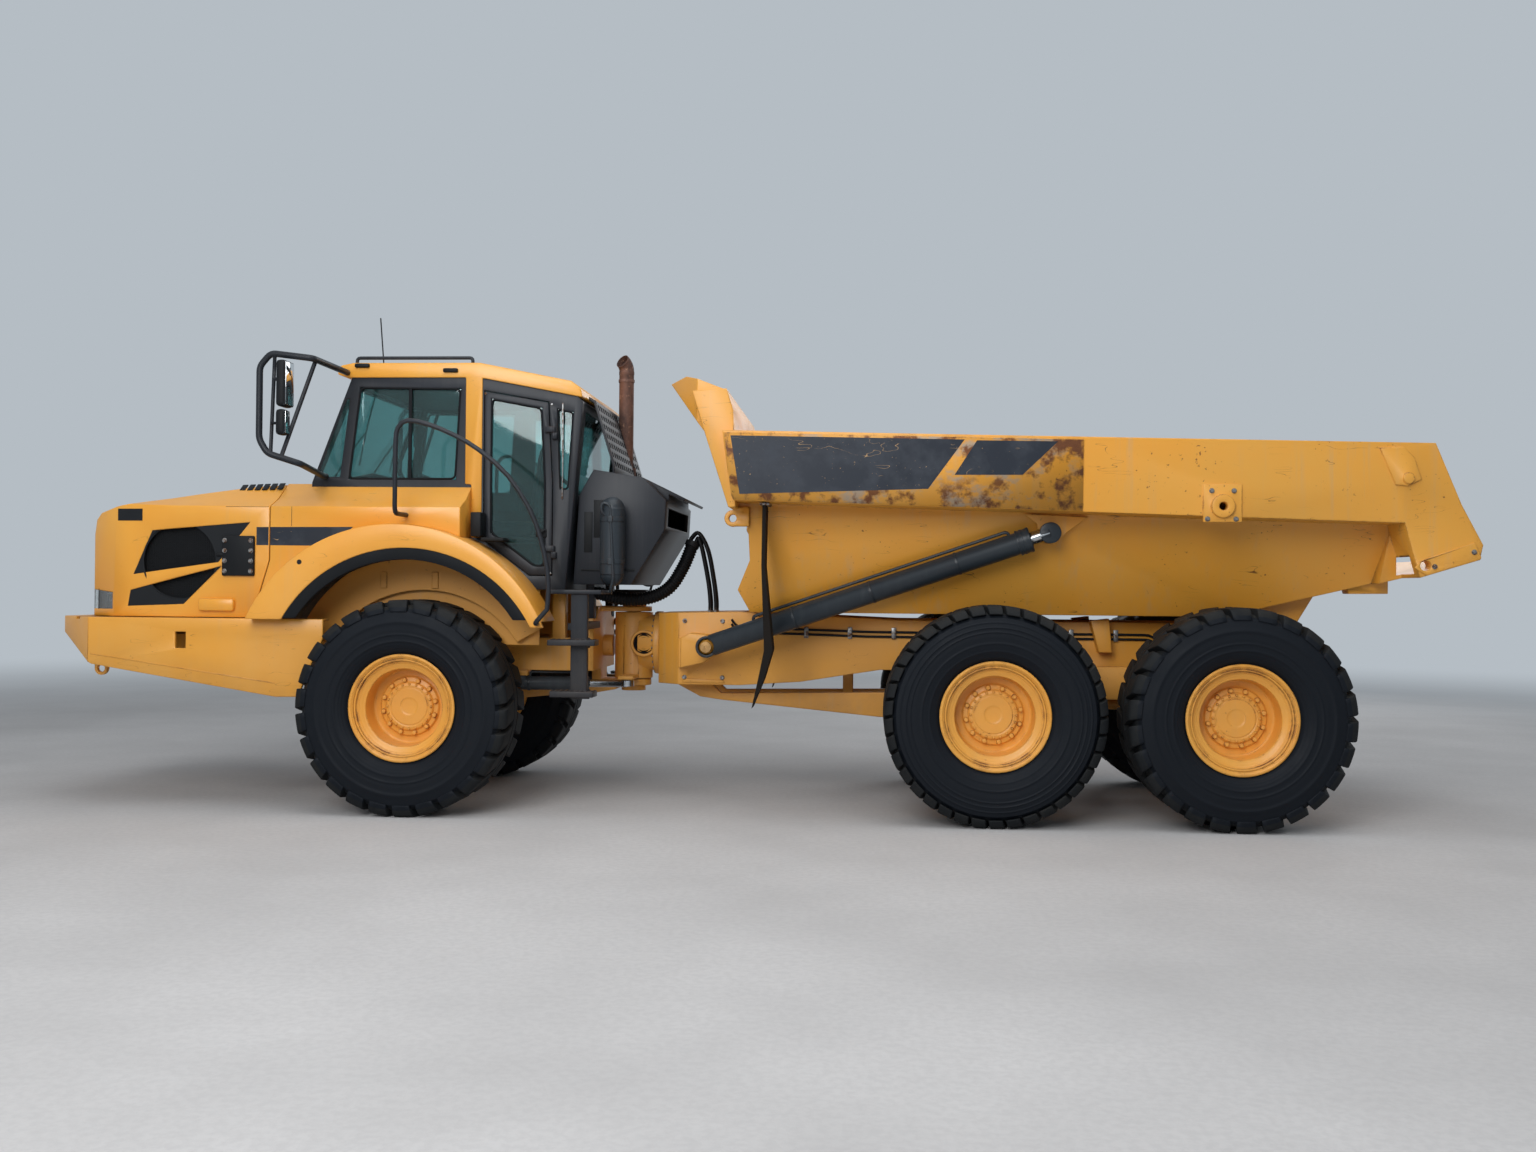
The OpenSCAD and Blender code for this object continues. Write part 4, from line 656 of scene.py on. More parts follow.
# One lug from the sidewall over the shoulder to the middle rib, bent to the tyre's round
def lugTemplate(tread, name):
    foot, count, groove = tread["foot"], tread["lugs"], tread["groove"]
    top = [(foot, 291), (foot + (752 - foot) * 0.5, 286), (748, 272), (761, 261), (768, 248), (770, 232),
           (770, 150), (769, 52)]
    base = [(foot, 262), (foot + 8, 256), (712, 246), (716, 240), (720, 232), (722, 220), (722, 150),
            (722, 52)]
    mesh = bmesh.new()
    columns = []
    for (r, z), (rb, zb) in zip(top, base):
        half = (math.tau * r / count - groove) / 2
        lean = -(z - 186) * math.tan(math.radians(wheelSizes["lugLean"]))
        halves = [-half - 5, -half, -half * 0.4, half * 0.4, half, half + 5]
        row = []
        for k, t in enumerate(halves):
            radius, height = (rb, zb) if k in (0, 5) else (r, z)
            turn = (t + lean) / r
            spot = Vector((radius * math.cos(turn), radius * math.sin(turn), height))
            row.append(mesh.verts.new(spot / 1000))
        columns.append(row)
    for a, b in zip(columns, columns[1:]):
        for k in range(5):
            mesh.faces.new((a[k], b[k], b[k + 1], a[k + 1]))
    mesh.faces.new(columns[0])
    mesh.faces.new(columns[-1][::-1])
    bmesh.ops.recalc_face_normals(mesh, faces=mesh.faces)
    return bpy.data.objects.new(name, baked(bevelled(mesh, 4, 1, 40), name))


def rimMesh():
    outline = [(95, -150), (173, -150), (173, -4), (313, -4), (317, -8), (317, -247), (381, -247.8),
               (385, -244), (385, -236), (381, -232.8), (340, -232.8), (335, -228), (335, 228), (340, 232.8),
               (380, 233), (385, 237), (385, 243), (380, 247.5), (368, 247.8), (362, 243), (359, 238),
               (352, 237), (348, 232), (346, 225), (337, 222), (333, 215), (331, 208), (323, 206), (318, 200),
               (314, 197), (306, 196), (298, 190), (290, 186), (281, 184), (277, 178), (276, 60), (268, 34),
               (258, 26), (224, 24), (217, 27), (209, 40), (204, 41.8), (181, 41.8), (177, 44), (173, 52),
               (168, 57), (153, 61), (146, 61.8), (142, 59), (136, 58), (132, 61.8), (64, 61.8), (59, 58.5),
               (50, 57.8), (0, 57.8), (0, -20), (95, -20)]
    mesh = bmesh.new()
    turned(mesh, Vector((0, 0, 0)), (0, 0, 1), outline, 96)
    return mesh


tyreShapes = {kind: tyreMesh(tread) for kind, tread in treads.items()}
for kind, tread in treads.items():
    lug = lugTemplate(tread, kind + "Lug")
    for mirror in (1, -1):
        start = math.tau / tread["lugs"] * (0.5 + mirror / 4)
        lugs = repeated(ringTree, lug, treadRubber, {"Count": tread["lugs"], "Radius": 0.0, "Start": start},
                        [Matrix.Scale(mirror, 4, (0, 0, 1))])
        loose = baked(lugs, "lugs")
        tyreShapes[kind].from_mesh(loose)
        bpy.data.meshes.remove(loose)
tyreData = {kind: baked(mesh, kind + "Tyre") for kind, mesh in tyreShapes.items()}
rimData = baked(rimMesh(), "rimShape")
midAt, rearAt = wheelSizes["wheelbase"], wheelSizes["wheelbase"] + wheelSizes["bogie"]
fasteners = {"wheelNuts": (wheelNut, "nuts", "nutCircle", 0.0418, {"Start": 0.2, "Play": 0.004}),
             "coverBolts": (smallBolt, "coverBolts", "coverCircle", 0.0585, {"Start": 0.0})}

for placeName, x, kind in (("front", 0, "coarse"), ("mid", midAt, "fine"), ("rear", rearAt, "coarse")):
    for sideName, side in (("left", -1), ("right", 1)):
        centre = at(x, side * wheelSizes["track"] / 2, wheelSizes["tyreRadius"])
        wheel = Matrix.Translation(centre) @ Matrix.Rotation(math.radians(-90 * side), 4, "X")
        where, tag = f"{placeName}_{sideName}", placeName.title() + sideName.title()
        body = "wheel_" + where
        tyre = tyreData[kind].copy()
        tyre.transform(wheel)
        settled(tyre, "tyre" + tag, body, tyreRubber, ["tyre_" + where], 38)
        tyre.materials.append(treadRubber)
        for face in tyre.polygons:  # the tread wears greyer than the sidewalls
            reach = face.center - centre
            if math.hypot(reach.x, reach.z) > wheelSizes["treadFrom"] / 1000:
                face.material_index = 1
        rim = rimData.copy()
        rim.transform(wheel)
        settled(rim, "rim" + tag, body, wheelEnamel, ["rim_" + where], 30)
        for name, (bolt, count, circle, height, settings) in fasteners.items():
            settings = {"Count": wheelSizes[count], "Radius": wheelSizes[circle] / 1000, **settings}
            sets = [wheel @ Matrix.Translation((0, 0, height))]
            settled(repeated(ringTree, bolt, wheelEnamel, settings, sets), name + tag, body, wheelEnamel)
print("wheels made")


# Hood: enamelled sheet with recessed mesh grilles
hoodSizes = {"meshAt": (-1744, 1805), "meshRadius": 283, "wirePitch": 17, "wire": 1.7, "vents": 6,
             "sideLean": 2.63, "side": -1150, "nose": -1800, "noseTaper": 11}

settled(bevelled(copied("hood"), 5), "hoodPanels", "hood", hoodEnamel, ["hood"])

wireSockets = {"Count": "Int", "Pitch": "Float", "Radius": "Float", "Wire": "Float", "Finish": "Material"}
wireTree, given = groupTree("wiresInRing", wireSockets)
gaps = add(wireTree, "Math", {0: given["Count"], 1: 1.0}, operation="SUBTRACT")
middle = add(wireTree, "Math", {0: gaps, 1: 2.0}, operation="DIVIDE")
steps = add(wireTree, "Math", {0: add(wireTree, "GeometryNodeInputIndex"), 1: middle}, operation="SUBTRACT")
away = add(wireTree, "Math", {0: steps, 1: given["Pitch"]}, operation="MULTIPLY")
squares = [add(wireTree, "Math", {0: side, 1: 2.0}, operation="POWER") for side in (given["Radius"], away)]
square = add(wireTree, "Math", {0: squares[0], 1: squares[1]}, operation="SUBTRACT")
square = add(wireTree, "Math", {0: square, 1: 0.0001}, operation="MAXIMUM")
half = add(wireTree, "Math", {0: square}, operation="SQRT")
chord = add(wireTree, "Math", {0: half, 1: 2.0}, operation="MULTIPLY")
spots = add(wireTree, "GeometryNodePoints",
            {"Count": given["Count"], "Position": add(wireTree, "CombineXYZ", {0: away})})
wire = add(wireTree, "GeometryNodeMeshCylinder", {"Vertices": 6, "Radius": given["Wire"], "Depth": 1.0})
long = add(wireTree, "CombineXYZ", {0: 1.0, 1: 1.0, 2: chord})
copies(wireTree, given, {"Points": spots, "Instance": wire, "Scale": long})

leaning = math.radians(hoodSizes["sideLean"])
meshX, meshZ = hoodSizes["meshAt"]
wires = {"Count": int(2 * hoodSizes["meshRadius"] / hoodSizes["wirePitch"]),
         "Pitch": hoodSizes["wirePitch"] / 1000, "Radius": hoodSizes["meshRadius"] / 1000,
         "Wire": hoodSizes["wire"] / 1000}
face = Matrix.Rotation(-leaning, 4, "Z")
wireSets = [Matrix.Translation(at(meshX, y, meshZ)) @ face @ Matrix.Rotation(math.radians(turn), 4, "Y")
            for turn, y in ((0, -1117), (90, -1114.6))]
wiring = repeated(wireTree, None, meshBlack, wires, bothSides(wireSets))
settled(wiring, "grilleMesh", "hood", meshBlack)

mesh = bmesh.new()
outer, inner = hoodSizes["meshRadius"], hoodSizes["meshRadius"] - 12
ring = [(outer, -2), (outer, 9), (inner, 9), (inner, -2)]
turned(mesh, at(meshX, -1112, meshZ), (math.sin(leaning), -math.cos(leaning), 0), ring, 64)
recess = [(-2125, 1468), (-1440, 1500), (-1380, 1760), (-1215, 2095), (-1955, 2034), (-2110, 1700)]
plate(mesh, recess, -1086, -1082)
paired(mesh, "grilleFrame", "hood", grillePlastic)

drill = bmesh.new()
bore = [(0, -1300), (outer - 4, -1300), (outer - 4, 1300), (0, 1300)]
turned(drill, at(meshX, 0, meshZ), (0, 1, 0), bore, 64)
corners = carved(copied("hood_grilles"), drill)
settled(corners, "grilleCorners", "hood", grillePlastic, ["hood_grilles"])

# The shoulder's seam and the dark front corner follow the side, which draws in towards the nose
mesh = bmesh.new()
for x0, x1, z0, z1, depth in ((-1391, -1070, 2203, 2206, 0.8), (-2225, -2030, 2100, 2188, 1.6)):
    corners = [(x, hoodSizes["side"] + max(0, hoodSizes["nose"] - x) / hoodSizes["noseTaper"], z)
               for x, z in ((x0, z0), (x1, z0), (x1, z1), (x0, z1))]
    low, high = ([mesh.verts.new(at(x, y + off, z)) for x, y, z in corners] for off in (-depth, 2))
    mesh.faces.new(low)
    mesh.faces.new(high[::-1])
    for i in range(4):
        mesh.faces.new((low[i - 1], high[i - 1], high[i], low[i]))
bmesh.ops.recalc_face_normals(mesh, faces=mesh.faces)
paired(mesh, "hoodSeams", "hood", grillePlastic)

# Louvres beside the hood's top, and the latch box with its bolts
slat = bmesh.new()
crate(slat, -22, 22, -40, 40, -4, 5)
slat = bevelled(slat, 4)
louvre = template(slat, "louvre")
tilt = Matrix.Translation(at(-1380, -868, 2361)) @ Matrix.Rotation(math.atan2(126, 180), 4, "X")
rows = bothSides([tilt @ Matrix.Rotation(math.radians(-3), 4, "Y")])
louvres = repeated(rowTree, louvre, grillePlastic, {"Count": hoodSizes["vents"], "Step": (0.058, 0, 0)}, rows)
settled(louvres, "hoodLouvres", "hood", grillePlastic)
mesh = bmesh.new()
crate(mesh, -1408, -1168, -1178, -1148, 1700, 1992)
crate(mesh, -1460, -1405, -1164, -1149, 1842, 1868)
mesh = bevelled(mesh, 9, 3)
paired(mesh, "latchBox", "hood", blackPlastic)
rows = [Matrix.Translation(at(x, -1177, 1735)) @ Matrix.Rotation(math.radians(90), 4, "X")
        for x in (-1386, -1190)]
spacing = {"Count": 4, "Step": (0, 0.074, 0), "Play": 0.6}
bolts = repeated(rowTree, plateBolt, platedSteel, spacing, bothSides(rows))
settled(bolts, "latchBolts", "hood", platedSteel)
drawn("hoodCap", "hood", hoodEnamel, "painted", 22, (-1582, -1313, -1186, -1140, 1440, 1534))

# Blank dark stripes along the hood and the cowl
drawn("hoodStripe", "hood", darkFilm, "dark", 0,
      ([(-1160, 2057), (-1070, 2058), (-1070, 1926), (-1160, 1925)], -1151, -1149))
drawn("cowlStripe", "tractor", darkFilm, "dark", 0,
      ([(-1056, 2058), (-440, 2062), (-474, 2034), (-560, 2001), (-640, 1964), (-720, 1924), (-1056, 1925)],
       -1151, -1149))
drawn("cowlSeam", "tractor", grillePlastic, "dark", 0, (-900, -897, -1150.8, -1149, 2066, 2208))

# Headlamps: bowls behind a clear lens
settled(copied("headlamps"), "lampLenses", "hood", lampLens, ["headlamps"])
mesh = bmesh.new()
for y in (-790, -925):
    bowl = [(58, 0), (56, 3), (50, -12), (38, -28), (22, -38), (0, -42), (0, -46), (26, -43), (42, -33),
            (55, -16)]
    turned(mesh, at(-2466 if y > -850 else -2420, y, 1530), (-1, 0, 0), bowl, 28)
mirrored(mesh)
settled(mesh, "lampBowls", "hood", lampMirror)
drawn("lampHousings", "hood", grillePlastic, "dark", 4,
      ([(-2470, 1446), (-2430, 1446), (-2430, 1640), (-2470, 1640)], -860, -700),
      ([(-2424, 1446), (-2384, 1446), (-2384, 1600), (-2424, 1600)], -1010, -862))
print("hood made")

# Bumper and fenders
dressed("bumper", "tractor", bumperEnamel, 5)
dressed("fenders", "tractor", fenderEnamel, 4, 30)
dressed("arch_trims", "tractor", sealRubber, 4, 30)
dressed("cowl", "tractor", hoodEnamel, 5)
drawn("bumperCrease", "tractor", bumperEnamel, "painted", 1.5,
      ([(-2376, 1128), (-990, 929), (-990, 920), (-2376, 1119)], -1203, -1198),
      (-2398, -2394, -1201, -1198, 1062, 1390))
mesh = bmesh.new()
turned(mesh, at(-768, -1331, 1802), (0, 1, 0), [(0, 0), (17, 0), (19, 2), (0, 2)], 24)
paired(mesh, "fenderPlug", "tractor", grillePlastic)

# Inner wheel arches of dusty sheet, with the black box and ledge behind the cowl
archSizes = {"centre": (-6, 881), "outer": 1020, "tyre": 838, "skin": -853}

mesh = bmesh.new()
x, z = archSizes["centre"]
rim = [(x + archSizes["outer"] * math.cos(t), z + archSizes["outer"] * math.sin(t))
       for t in (math.radians(27 + 3 * k) for k in range(43))]
under = [(archSizes["tyre"] * math.cos(t), 770 + archSizes["tyre"] * math.sin(t))
         for t in (math.radians(150 - 3 * k) for k in range(40))]
plate(mesh, rim + under, archSizes["skin"] - 4, archSizes["skin"])
crate(mesh, -700, 860, -806, -800, 1205, 1640)
for x in (-330, 60, 420):
    crate(mesh, x, x + 46, -864, -857, 1620, 1740)
paired(mesh, "archLiners", "tractor", frameEnamel)
drawn("ledgeBox", "tractor", blackPlastic, "dark", 8, (384, 462, -1010, -862, 2004, 2182),
      (470, 640, -1040, -870, 1968, 1996))

# Chassis, axle and struts
dressed("front_frame", "tractor", frameEnamel, 5)
dressed("front_axle", "tractor", frameEnamel, 3)
dressed("steering_barrels", "tractor", slateEnamel, 3)
dressed("engine", "tractor", castIron, 12)
mesh = bmesh.new()
for z in range(1120, 1232, 16):  # rubber boot over each strut
    turned(mesh, at(120, -540, z), (0, 0, 1), [(66, 0), (72, 6), (72, 9), (66, 15), (60, 15), (60, 0)], 28)
paired(mesh, "strutBoots", "tractor", hoseRubber)
mesh = bmesh.new()
for x in range(-1900, -800, 180):
    crate(mesh, x, x + 60, -372, 372, 2040, 2084)
crate(mesh, -1960, -800, -250, 250, 2060, 2120)
for y in (-300, 300):
    route = [at(-1950, y, 2000), at(-1700, y * 1.25, 2090), at(-1200, y * 1.25, 2090), at(-900, y, 2000)]
    swept(mesh, route, 34, 12, 6)
settled(bevelled(mesh, 6), "engineTop", "tractor", castIron)


def framed(mesh, outline, y, radius, reach=0.04):  # a rubber seal round a side window
    corners = [at(x, y, z) for x, z in outline]
    start = (corners[0] + corners[-1]) / 2
    swept(mesh, bent([start] + corners + [start], reach), radius, 8)


# Cab: dark shell, painted roof, tinted glass in rubber seals
cabSizes = {"side": -851, "screenFoot": (-858, 2405), "screenSlope": 0.3783,
            "frontCorner": [(-826, 2448), (-654, 2448), (-582, 3030), (-606, 3030)],
            "sideWindow": [(-498, 3114), (256, 3104), (222, 2436), (-582, 2436)],
            "quarterWindow": [(989, 2954), (1105, 2930), (1071, 2364), (1014, 2364)],
            "doorWindow": [(495, 3029), (867, 2961), (899, 2400), (899, 1795), (823, 1795), (495, 2040)]}

tool = bmesh.new()
for y in (-900, 700):
    plate(tool, cabSizes["frontCorner"], y, y + 200)
shell = carved(copied("cab_shell"), tool)
bmesh.ops.connect_verts_concave(shell, faces=shell.faces)
settled(bevelled(shell, 3), "cabShellDressed", "tractor", darkEnamel, ["cab_shell"])
drawn("cornerGlass", "tractor", cabGlass, "glass", 0,
      ([(x + dx, z + dz) for (x, z), dx, dz in zip(cabSizes["frontCorner"], (-6, 6, 4, -6), (-6, -6, 6, 6))],
       -846, -840))
dressed("cab_roof", "tractor", hoodEnamel, 12)
dressed("cab_glass", "tractor", cabGlass, 0)
dressed("door", "door", darkEnamel, 3)
dressed("door_glass", "door", cabGlass, 0)
mesh = bmesh.new()
framed(mesh, cabSizes["sideWindow"], cabSizes["side"] + 4, 8)
framed(mesh, cabSizes["quarterWindow"], cabSizes["side"] + 4, 7, 0.03)
crate(mesh, -133, -109, -856, -842, 2440, 3104)
paired(mesh, "windowSeals", "tractor", sealRubber)
mesh = bmesh.new()
framed(mesh, cabSizes["doorWindow"], cabSizes["side"] + 4, 8)
settled(mesh, "doorSeal", "door", sealRubber)
mesh = bmesh.new()
footX, footZ = cabSizes["screenFoot"]
corners = [at(footX + (z - footZ) * cabSizes["screenSlope"], y, z)
           for y, z in ((-770, 2450), (770, 2450), (740, 3120), (-740, 3120))]
start = (corners[0] + corners[-1]) / 2
swept(mesh, bent([start] + corners + [start], 0.06), 9, 8)
settled(mesh, "windscreenSeal", "tractor", sealRubber)
mesh = bmesh.new()
for y in (-420, 330):  # wiper arms and blades
    foot = at(-880, y, 2412)
    tip, blade = foot + Vector((0.175, 0.32, 0.46)), Vector((0.10, -0.11, 0.265))
    boss = [(0, -6), (24, -6), (24, 10), (18, 16), (0, 16)]
    turned(mesh, foot + Vector((0.004, 0, 0)), (-0.9, 0, 0.35), boss, 20)
    middle, end = foot.lerp(tip, 0.5) + Vector((-0.022, 0, 0.004)), tip + Vector((-0.012, 0, 0))
    swept(mesh, [foot + Vector((-0.012, 0, 0.006)), middle, end], 6, 8, 4)
    proud = Vector((-0.008, 0, 0))
    swept(mesh, [tip - blade + proud, tip + Vector((-0.014, 0, 0)), tip + blade + proud], 7, 8, 3)
settled(mesh, "wipers", "tractor", blackPlastic)
drawn("roofBlocks", "tractor", blackPlastic, "dark", 8, (-540, -430, -884, -852, 3262, 3292),
      (130, 240, -884, -852, 3226, 3256))
mesh = bmesh.new()
crate(mesh, 836, 916, -860, -848, 2006, 2066)
grip = [at(902, -852, 2052), at(902, -888, 2052), at(850, -888, 2022), at(850, -852, 2022)]
swept(mesh, bent(grip, 0.012, 3), 8, 10)
settled(bevelled(mesh, 4), "doorHandle", "door", blackPlastic)
mesh = bmesh.new()
for x, z in ((448, 1996), (448, 3070), (946, 1740), (946, 2990)):
    turned(mesh, at(x, -852, z), (0, -1, 0), [(0, -3), (9, -3), (9, 2), (6, 5), (0, 5)], 16)
settled(mesh, "doorStuds", "door", platedSteel)
dressed("aerial", "tractor", blackPlastic, 0)

# Inside: dashboard, wheel, and a seat blown up as cloth
seatSizes = {"voxel": 0.006, "pressure": 4, "frames": 20, "cap": 0.018, "seam": 0.007, "seamWidth": 0.010}


def stuffed(mesh, name, seams, crown):  # padded cloth; seams are (axis, distance) planes it is sewn along
    holder = standing(name, baked(mesh, name))
    weave = holder.modifiers.new("weave", "REMESH")
    weave.mode, weave.voxel_size = "VOXEL", seatSizes["voxel"]
    fine = bpy.data.meshes.new_from_object(holder.evaluated_get(bpy.context.evaluated_depsgraph_get()))
    holder.modifiers.remove(weave)
    holder.data = fine
    start = [v.co.copy() for v in fine.vertices]
    cloth = holder.modifiers.new("cloth", "CLOTH")
    cloth.settings.use_pressure, cloth.settings.uniform_pressure_force = True, seatSizes["pressure"]
    cloth.settings.effector_weights.gravity = 0
    cloth.point_cache.frame_start, cloth.point_cache.frame_end = 1, seatSizes["frames"]
    for count in range(1, seatSizes["frames"] + 1):
        scene.frame_set(count)
    blown = bpy.data.meshes.new_from_object(holder.evaluated_get(bpy.context.evaluated_depsgraph_get()))
    holder.modifiers.remove(cloth)
    for v, old in zip(blown.vertices, start):
        move = v.co - old
        v.co = old + move * min(1, seatSizes["cap"] / max(move.length, 1e-9))
    holder.data = blown
    scene.frame_set(1)
    places, normals = ([tuple(getattr(v, kind)) for v in holder.data.vertices] for kind in ("co", "normal"))
    middle = [sum(p[axis] for p in places) / len(places) for axis in range(3)]
    sewn = []
    for p, n in zip(places, normals):
        dips = sum(math.exp(-(((p[axis] - middle[axis] - away) / seatSizes["seamWidth"]) ** 2))
                   for axis, away in seams)
        dips *= seatSizes["seam"] * sum(a * b for a, b in zip(n, crown))
        sewn += [a - b * dips for a, b in zip(p, crown)]
    holder.data.vertices.foreach_set("co", sewn)
    soft = holder.modifiers.new("soft", "SUBSURF")
    soft.levels = soft.render_levels = 1
    return worked(holder)


dressed("cab_interior", "tractor", blackPlastic, 4)
dressed("seat_base", "tractor", blackPlastic, 14)
# Each pad is a side view, its half width, edge radius, seams, crown and share of stuffing
pads = {"seatCushion": ([(236, 2046), (686, 2046), (686, 2136), (236, 2136)], 244, 36,
                        [(1, -0.15), (1, 0.15), (0, -0.06), (0, 0.07)], (0, 0, 1), 0.7),
        "seatBack": ([(626, 2166), (706, 2166), (794, 2744), (730, 2750)], 226, 30,
                     [(1, -0.14), (1, 0.14), (2, -0.09), (2, 0.09)], (-1, 0, 0.15), 0.6),
        "seatHeadrest": ([(742, 2768), (800, 2766), (820, 2940), (768, 2948)], 128, 26, [], (-1, 0, 0), 0.7)}

for name, (outline, half, edge, seams, crown, full) in pads.items():
    mesh = bmesh.new()
    plate(mesh, outline, -half, half)
    soft = stuffed(bevelled(mesh, edge, 4), "loosePad", seams, crown)
    settled(soft, name, "tractor", seatCloth, ["seat_pads"])
mesh = bmesh.new()
for y, height in ((340, 2420), (420, 2380), (520, 2400)):  # levers on the console
    swept(mesh, [at(420, y, 2255), at(410, y, height - 60), at(400, y, height)], 8, 8, 3)
    turned(mesh, at(400, y, height), (0, 0, 1), [(0, -18), (15, -10), (19, 6), (12, 20), (0, 24)], 16)
settled(mesh, "levers", "tractor", blackPlastic)
print("cab made")

# Behind the cab: stack, housing, air tanks
rearSizes = {"tankAt": (1415, -900), "straps": (1810, 2120), "stackAt": (1310, 300), "stackPipe": 60,
             "elbowRadius": 92, "elbowTurn": 62}

mesh = bmesh.new()
pipe = rearSizes["stackPipe"]
outline = [(0, 2480), (pipe, 2480), (pipe, 3372), (pipe + 2, 3376), (pipe + 2, 3400), (0, 3400)]
turned(mesh, at(*rearSizes["stackAt"], 0), (0, 0, 1), outline, 48)
settled(mesh, "exhaustPipe", "tractor", burntSteel, ["exhaust"])
mesh = bmesh.new()
aside = Vector((-0.62, -0.78, 0)) * rearSizes["elbowRadius"] / 1000
route = [at(*rearSizes["stackAt"], 3398)]
for k in range(13):
    turn = math.radians(rearSizes["elbowTurn"]) * k / 12
    rise = Vector((0, 0, aside.length * math.sin(turn)))
    route.append(at(*rearSizes["stackAt"], 3400) + aside * (1 - math.cos(turn)) + rise)
swept(mesh, route, pipe, 40)
mesh.faces.ensure_lookup_table()
mouth = mesh.faces[1]  # the far end's face, sunk to make the pipe hollow
bmesh.ops.inset_region(mesh, faces=[mouth], thickness=0.006)
inner = bmesh.ops.extrude_discrete_faces(mesh, faces=[mouth])["faces"][0]
bmesh.ops.translate(mesh, verts=inner.verts, vec=-inner.normal * 0.05)
settled(mesh, "exhaustElbow", "tractor", burntSteel, ["exhaust"])
mesh = bmesh.new()
for z in (2530, 2590, 3310):
    turned(mesh, at(1310, 300, z), (0, 0, 1), [(58, 0), (65, 1), (66, 12), (65, 24), (58, 25)], 40)
crate(mesh, 1362, 1392, 292, 308, 2531, 2614)
settled(mesh, "stackClamps", "tractor", burntSteel)
dressed("rear_housing", "tractor", darkEnamel, 3)
dressed("rear_guard", "tractor", darkEnamel, 2)
dressed("air_tank", "tractor", slateEnamel, 0)
dressed("steps", "tractor", darkEnamel, 3)
dressed("handrails", "tractor", darkEnamel, 0)
dressed("mirrors", "tractor", darkEnamel, 0)
mesh = bmesh.new()
x, y = rearSizes["tankAt"]
for z in rearSizes["straps"]:
    turned(mesh, at(x, y, z), (0, 0, 1), [(88, 0), (93, 0), (93, 36), (88, 36)], 40)
    crate(mesh, x - 16, x + 16, y - 100, y - 88, z - 4, z + 40)
loop = [at(1395, -960, 2150), at(1345, -985, 2190), at(1352, -985, 2262), at(1412, -985, 2240),
        at(1440, -992, 1700), at(1418, -985, 1612), at(1415, -930, 1600)]
swept(mesh, bent(loop, 0.03), 11, 10)
paired(mesh, "tankStraps", "tractor", slateEnamel)
drawn("housingSeams", "tractor", blackPlastic, "dark", 2, (1250, 1330, -764, -758, 2010, 2290),
      (1160, 1560, -768, -759, 1760, 1775), (1180, 1240, -766, -759, 1900, 2200))
mesh = bmesh.new()
outline = [(1024, 3000), (1034, 3000), (1038, 2640), (1036, 2290), (1026, 2290), (1028, 2640)]
plate(mesh, outline, -862, -852)
settled(bevelled(mesh, 2), "cabTrim", "tractor", platedSteel)

stud = bmesh.new()
turned(stud, at(0, 0, 0), (0, 0, 1), [(4, -1), (9, -1), (8, 4), (5, 4)], 12)
grip = template(stud, "grip")
lines = [Matrix.Translation(at(1052, -1176 - 36 * k, z)) for z in (1265, 900) for k in range(4)]
grips = repeated(rowTree, grip, darkEnamel, {"Count": 9, "Step": (0.037, 0, 0)}, bothSides(lines))
settled(grips, "stepGrips", "tractor", darkEnamel)
mesh = bmesh.new()
for z in (1265, 900):
    crate(mesh, 1170, 1310, -1182, -1170, z - 60, z + 14)
paired(mesh, "stepBrackets", "tractor", darkEnamel, 3)

# Mirrors: rounded shells with the glass looking back
mirrorSizes = {"across": -1549, "heads": ((-76, 76, 2890, 3200), (-76, 10, 2690, 2855))}

shells, panes = bmesh.new(), bmesh.new()
for low, high, z0, z1 in mirrorSizes["heads"]:
    y = mirrorSizes["across"]
    crate(shells, -834, -764, y + low - 8, y + high + 8, z0 - 8, z1 + 8)
    crate(panes, -765, -761, y + low + 4, y + high - 4, z0 + 6, z1 - 6)
paired(bevelled(shells, 26, 4), "mirrorShells", "tractor", blackPlastic)
paired(bevelled(panes, 1.5), "mirrorPanes", "tractor", mirrorGlass)

# Steering cylinders and the hitch
for side in ("left", "right"):
    dressed("steering_rod_" + side, "steering_rod_" + side, chromedRod, 0)
mesh = bmesh.new()
root, eye = at(640, -450, 900), at(1440, -330, 900)
aim = (eye - root).normalized()
for along in (60, 470, 500):
    turned(mesh, root, aim, [(52, along - 12), (57, along - 10), (57, along + 10), (52, along + 12)], 32)
spots = ((0.07, 0.05), (0.07, 0.085), (0.48, 0.085), (0.48, 0.05))
swept(mesh, bent([root + aim * along + Vector((0, 0, up)) for along, up in spots], 0.012, 3), 9, 8)
paired(mesh, "steeringGlands", "tractor", slateEnamel)

hitchSizes = {"flangeBolts": 24, "boltCircle": 0.2335, "bellowsAt": (1550, -206)}

dressed("hitch", "hitch", frameEnamel, 3)
ring = facing(at(1622, 0, 1206), (-1, 0, 0))
circle = {"Count": hitchSizes["flangeBolts"], "Radius": hitchSizes["boltCircle"], "Start": 0.1, "Play": 0.02}
bolts = repeated(ringTree, smallBolt, platedSteel, circle, [ring])
settled(bolts, "flangeBolts", "hitch", platedSteel)
x, y = hitchSizes["bellowsAt"]
mesh, dark = bmesh.new(), bmesh.new()
rim = [(84, -20), (104, -14), (106, 12), (100, 18), (86, 18), (82, 12)]
folds = [(0, 9), (16, 11), (22, 4), (30, 10), (38, 3), (46, 10), (54, 3), (62, 10), (70, 3), (78, 9), (84, 4),
         (84, -14), (0, -14)]
turned(mesh, at(x, y, 1206), (0, -1, 0), rim, 40)
turned(dark, at(x, y, 1206), (0, -1, 0), folds, 40)
